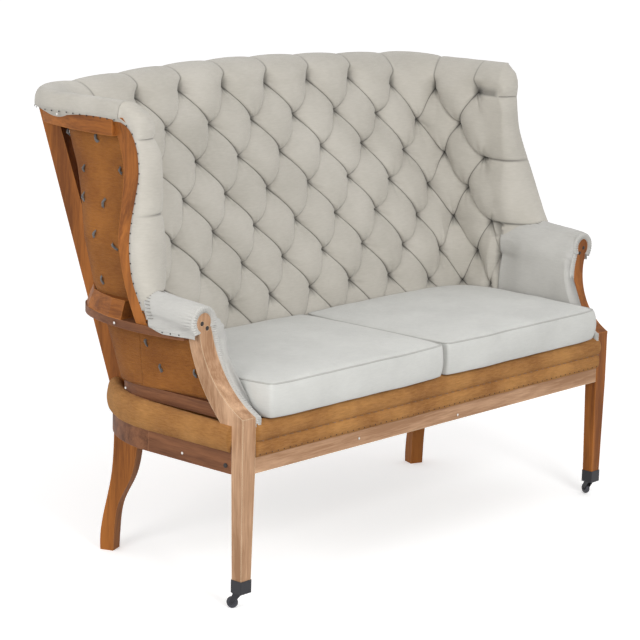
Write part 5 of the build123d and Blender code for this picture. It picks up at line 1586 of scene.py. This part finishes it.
# %% Lay the floor
bm = bmesh.new()
bmesh.ops.create_grid(bm, x_segments=1, y_segments=1, size=60.0)
floor_mesh = bpy.data.meshes.new("floor")
bm.to_mesh(floor_mesh)
bm.free()
floor = bpy.data.objects.new("floor", floor_mesh)
bpy.context.scene.collection.objects.link(floor)
PAPER = (0.55, 0.55, 0.55, 1)
paper, tree, shader = start_material("paper", Base_Color=PAPER, Roughness=0.95, Specular_IOR_Level=0.0)
seen = add_node(tree, "ShaderNodeBsdfDiffuse", Color=(1.0, 1.0, 1.0, 1))
glow = add_node(tree, "ShaderNodeEmission", Strength=0.30)
both = tree.nodes.new("ShaderNodeAddShader")
tree.links.new(seen.outputs[0], both.inputs[0])
tree.links.new(glow.outputs[0], both.inputs[1])
show_when_seen(tree, shader.outputs[0], both.outputs[0], tree.nodes["Material Output"].inputs[0])
floor.data.materials.append(paper)

# %% Light from all round
world = bpy.data.worlds.new("studio")
bpy.context.scene.world = world
world.use_nodes = True
tree = world.node_tree
tree.nodes["Background"].inputs[0].default_value = (1, 1, 1, 1)
sky = tree.nodes.new("ShaderNodeTexCoord")
parts = tree.nodes.new("ShaderNodeSeparateXYZ")
fade = add_node(tree, "ShaderNodeMapRange", To_Min=1.15, To_Max=0.55)   # at the horizon, and overhead
tree.links.new(sky.outputs["Generated"], parts.inputs[0])
tree.links.new(parts.outputs[2], fade.inputs[0])
tree.links.new(fade.outputs[0], tree.nodes["Background"].inputs[1])
backdrop = add_node(tree, "ShaderNodeBackground", Color=(1, 1, 1, 1), Strength=1.0)
show_when_seen(tree, tree.nodes["Background"].outputs[0], backdrop.outputs[0], tree.nodes["World Output"].inputs[0])


# %% Hang the lamps
def soft_light(name, place, target, size, power):
    """Hang a square lamp that shines at a target."""
    data = bpy.data.lights.new(name, "AREA")
    data.shape = "SQUARE"
    data.size = size
    data.energy = power
    lamp = bpy.data.objects.new(name, data)
    bpy.context.scene.collection.objects.link(lamp)
    lamp.location = place
    lamp.rotation_euler = (Vector(target) - Vector(place)).to_track_quat("-Z", "Y").to_euler()
    return lamp


soft_light("key", (-1.4, -3.9, 2.6), (0, 0, 0.6), 1.4, 80.0)
soft_light("side", (-4.2, -0.6, 2.0), (0, 0, 0.6), 1.6, 52.0)
print("lamps:", len(bpy.data.lights))

# %% Set up the camera
TURN, PITCH, ROLL = math.radians(47.854), math.radians(12.17), math.radians(1.342)
EYE = (-4.5804, -3.7256 + LEG_FRONT, 1.8701)
FOCAL = 2378.7         # in pixels, for a picture 640 pixels wide
forward = Vector((math.sin(TURN) * math.cos(PITCH), math.cos(TURN) * math.cos(PITCH), -math.sin(PITCH)))
right = Vector((math.cos(TURN), -math.sin(TURN), 0))
up = right.cross(forward)
right, up = (math.cos(ROLL) * right + math.sin(ROLL) * up, -math.sin(ROLL) * right + math.cos(ROLL) * up)
lens = bpy.data.cameras.new("camera")
lens.sensor_width = 36.0
lens.lens = 36.0 * FOCAL / 640.0
lens.clip_end = 100.0
camera = bpy.data.objects.new("camera", lens)
bpy.context.scene.collection.objects.link(camera)
camera.matrix_world = Matrix((
    (right.x, up.x, -forward.x, EYE[0]),
    (right.y, up.y, -forward.y, EYE[1]),
    (right.z, up.z, -forward.z, EYE[2]),
    (0, 0, 0, 1),
))
bpy.context.scene.camera = camera
bpy.context.scene.view_settings.view_transform = "Standard"
print("camera lens, mm:", round(lens.lens, 1))
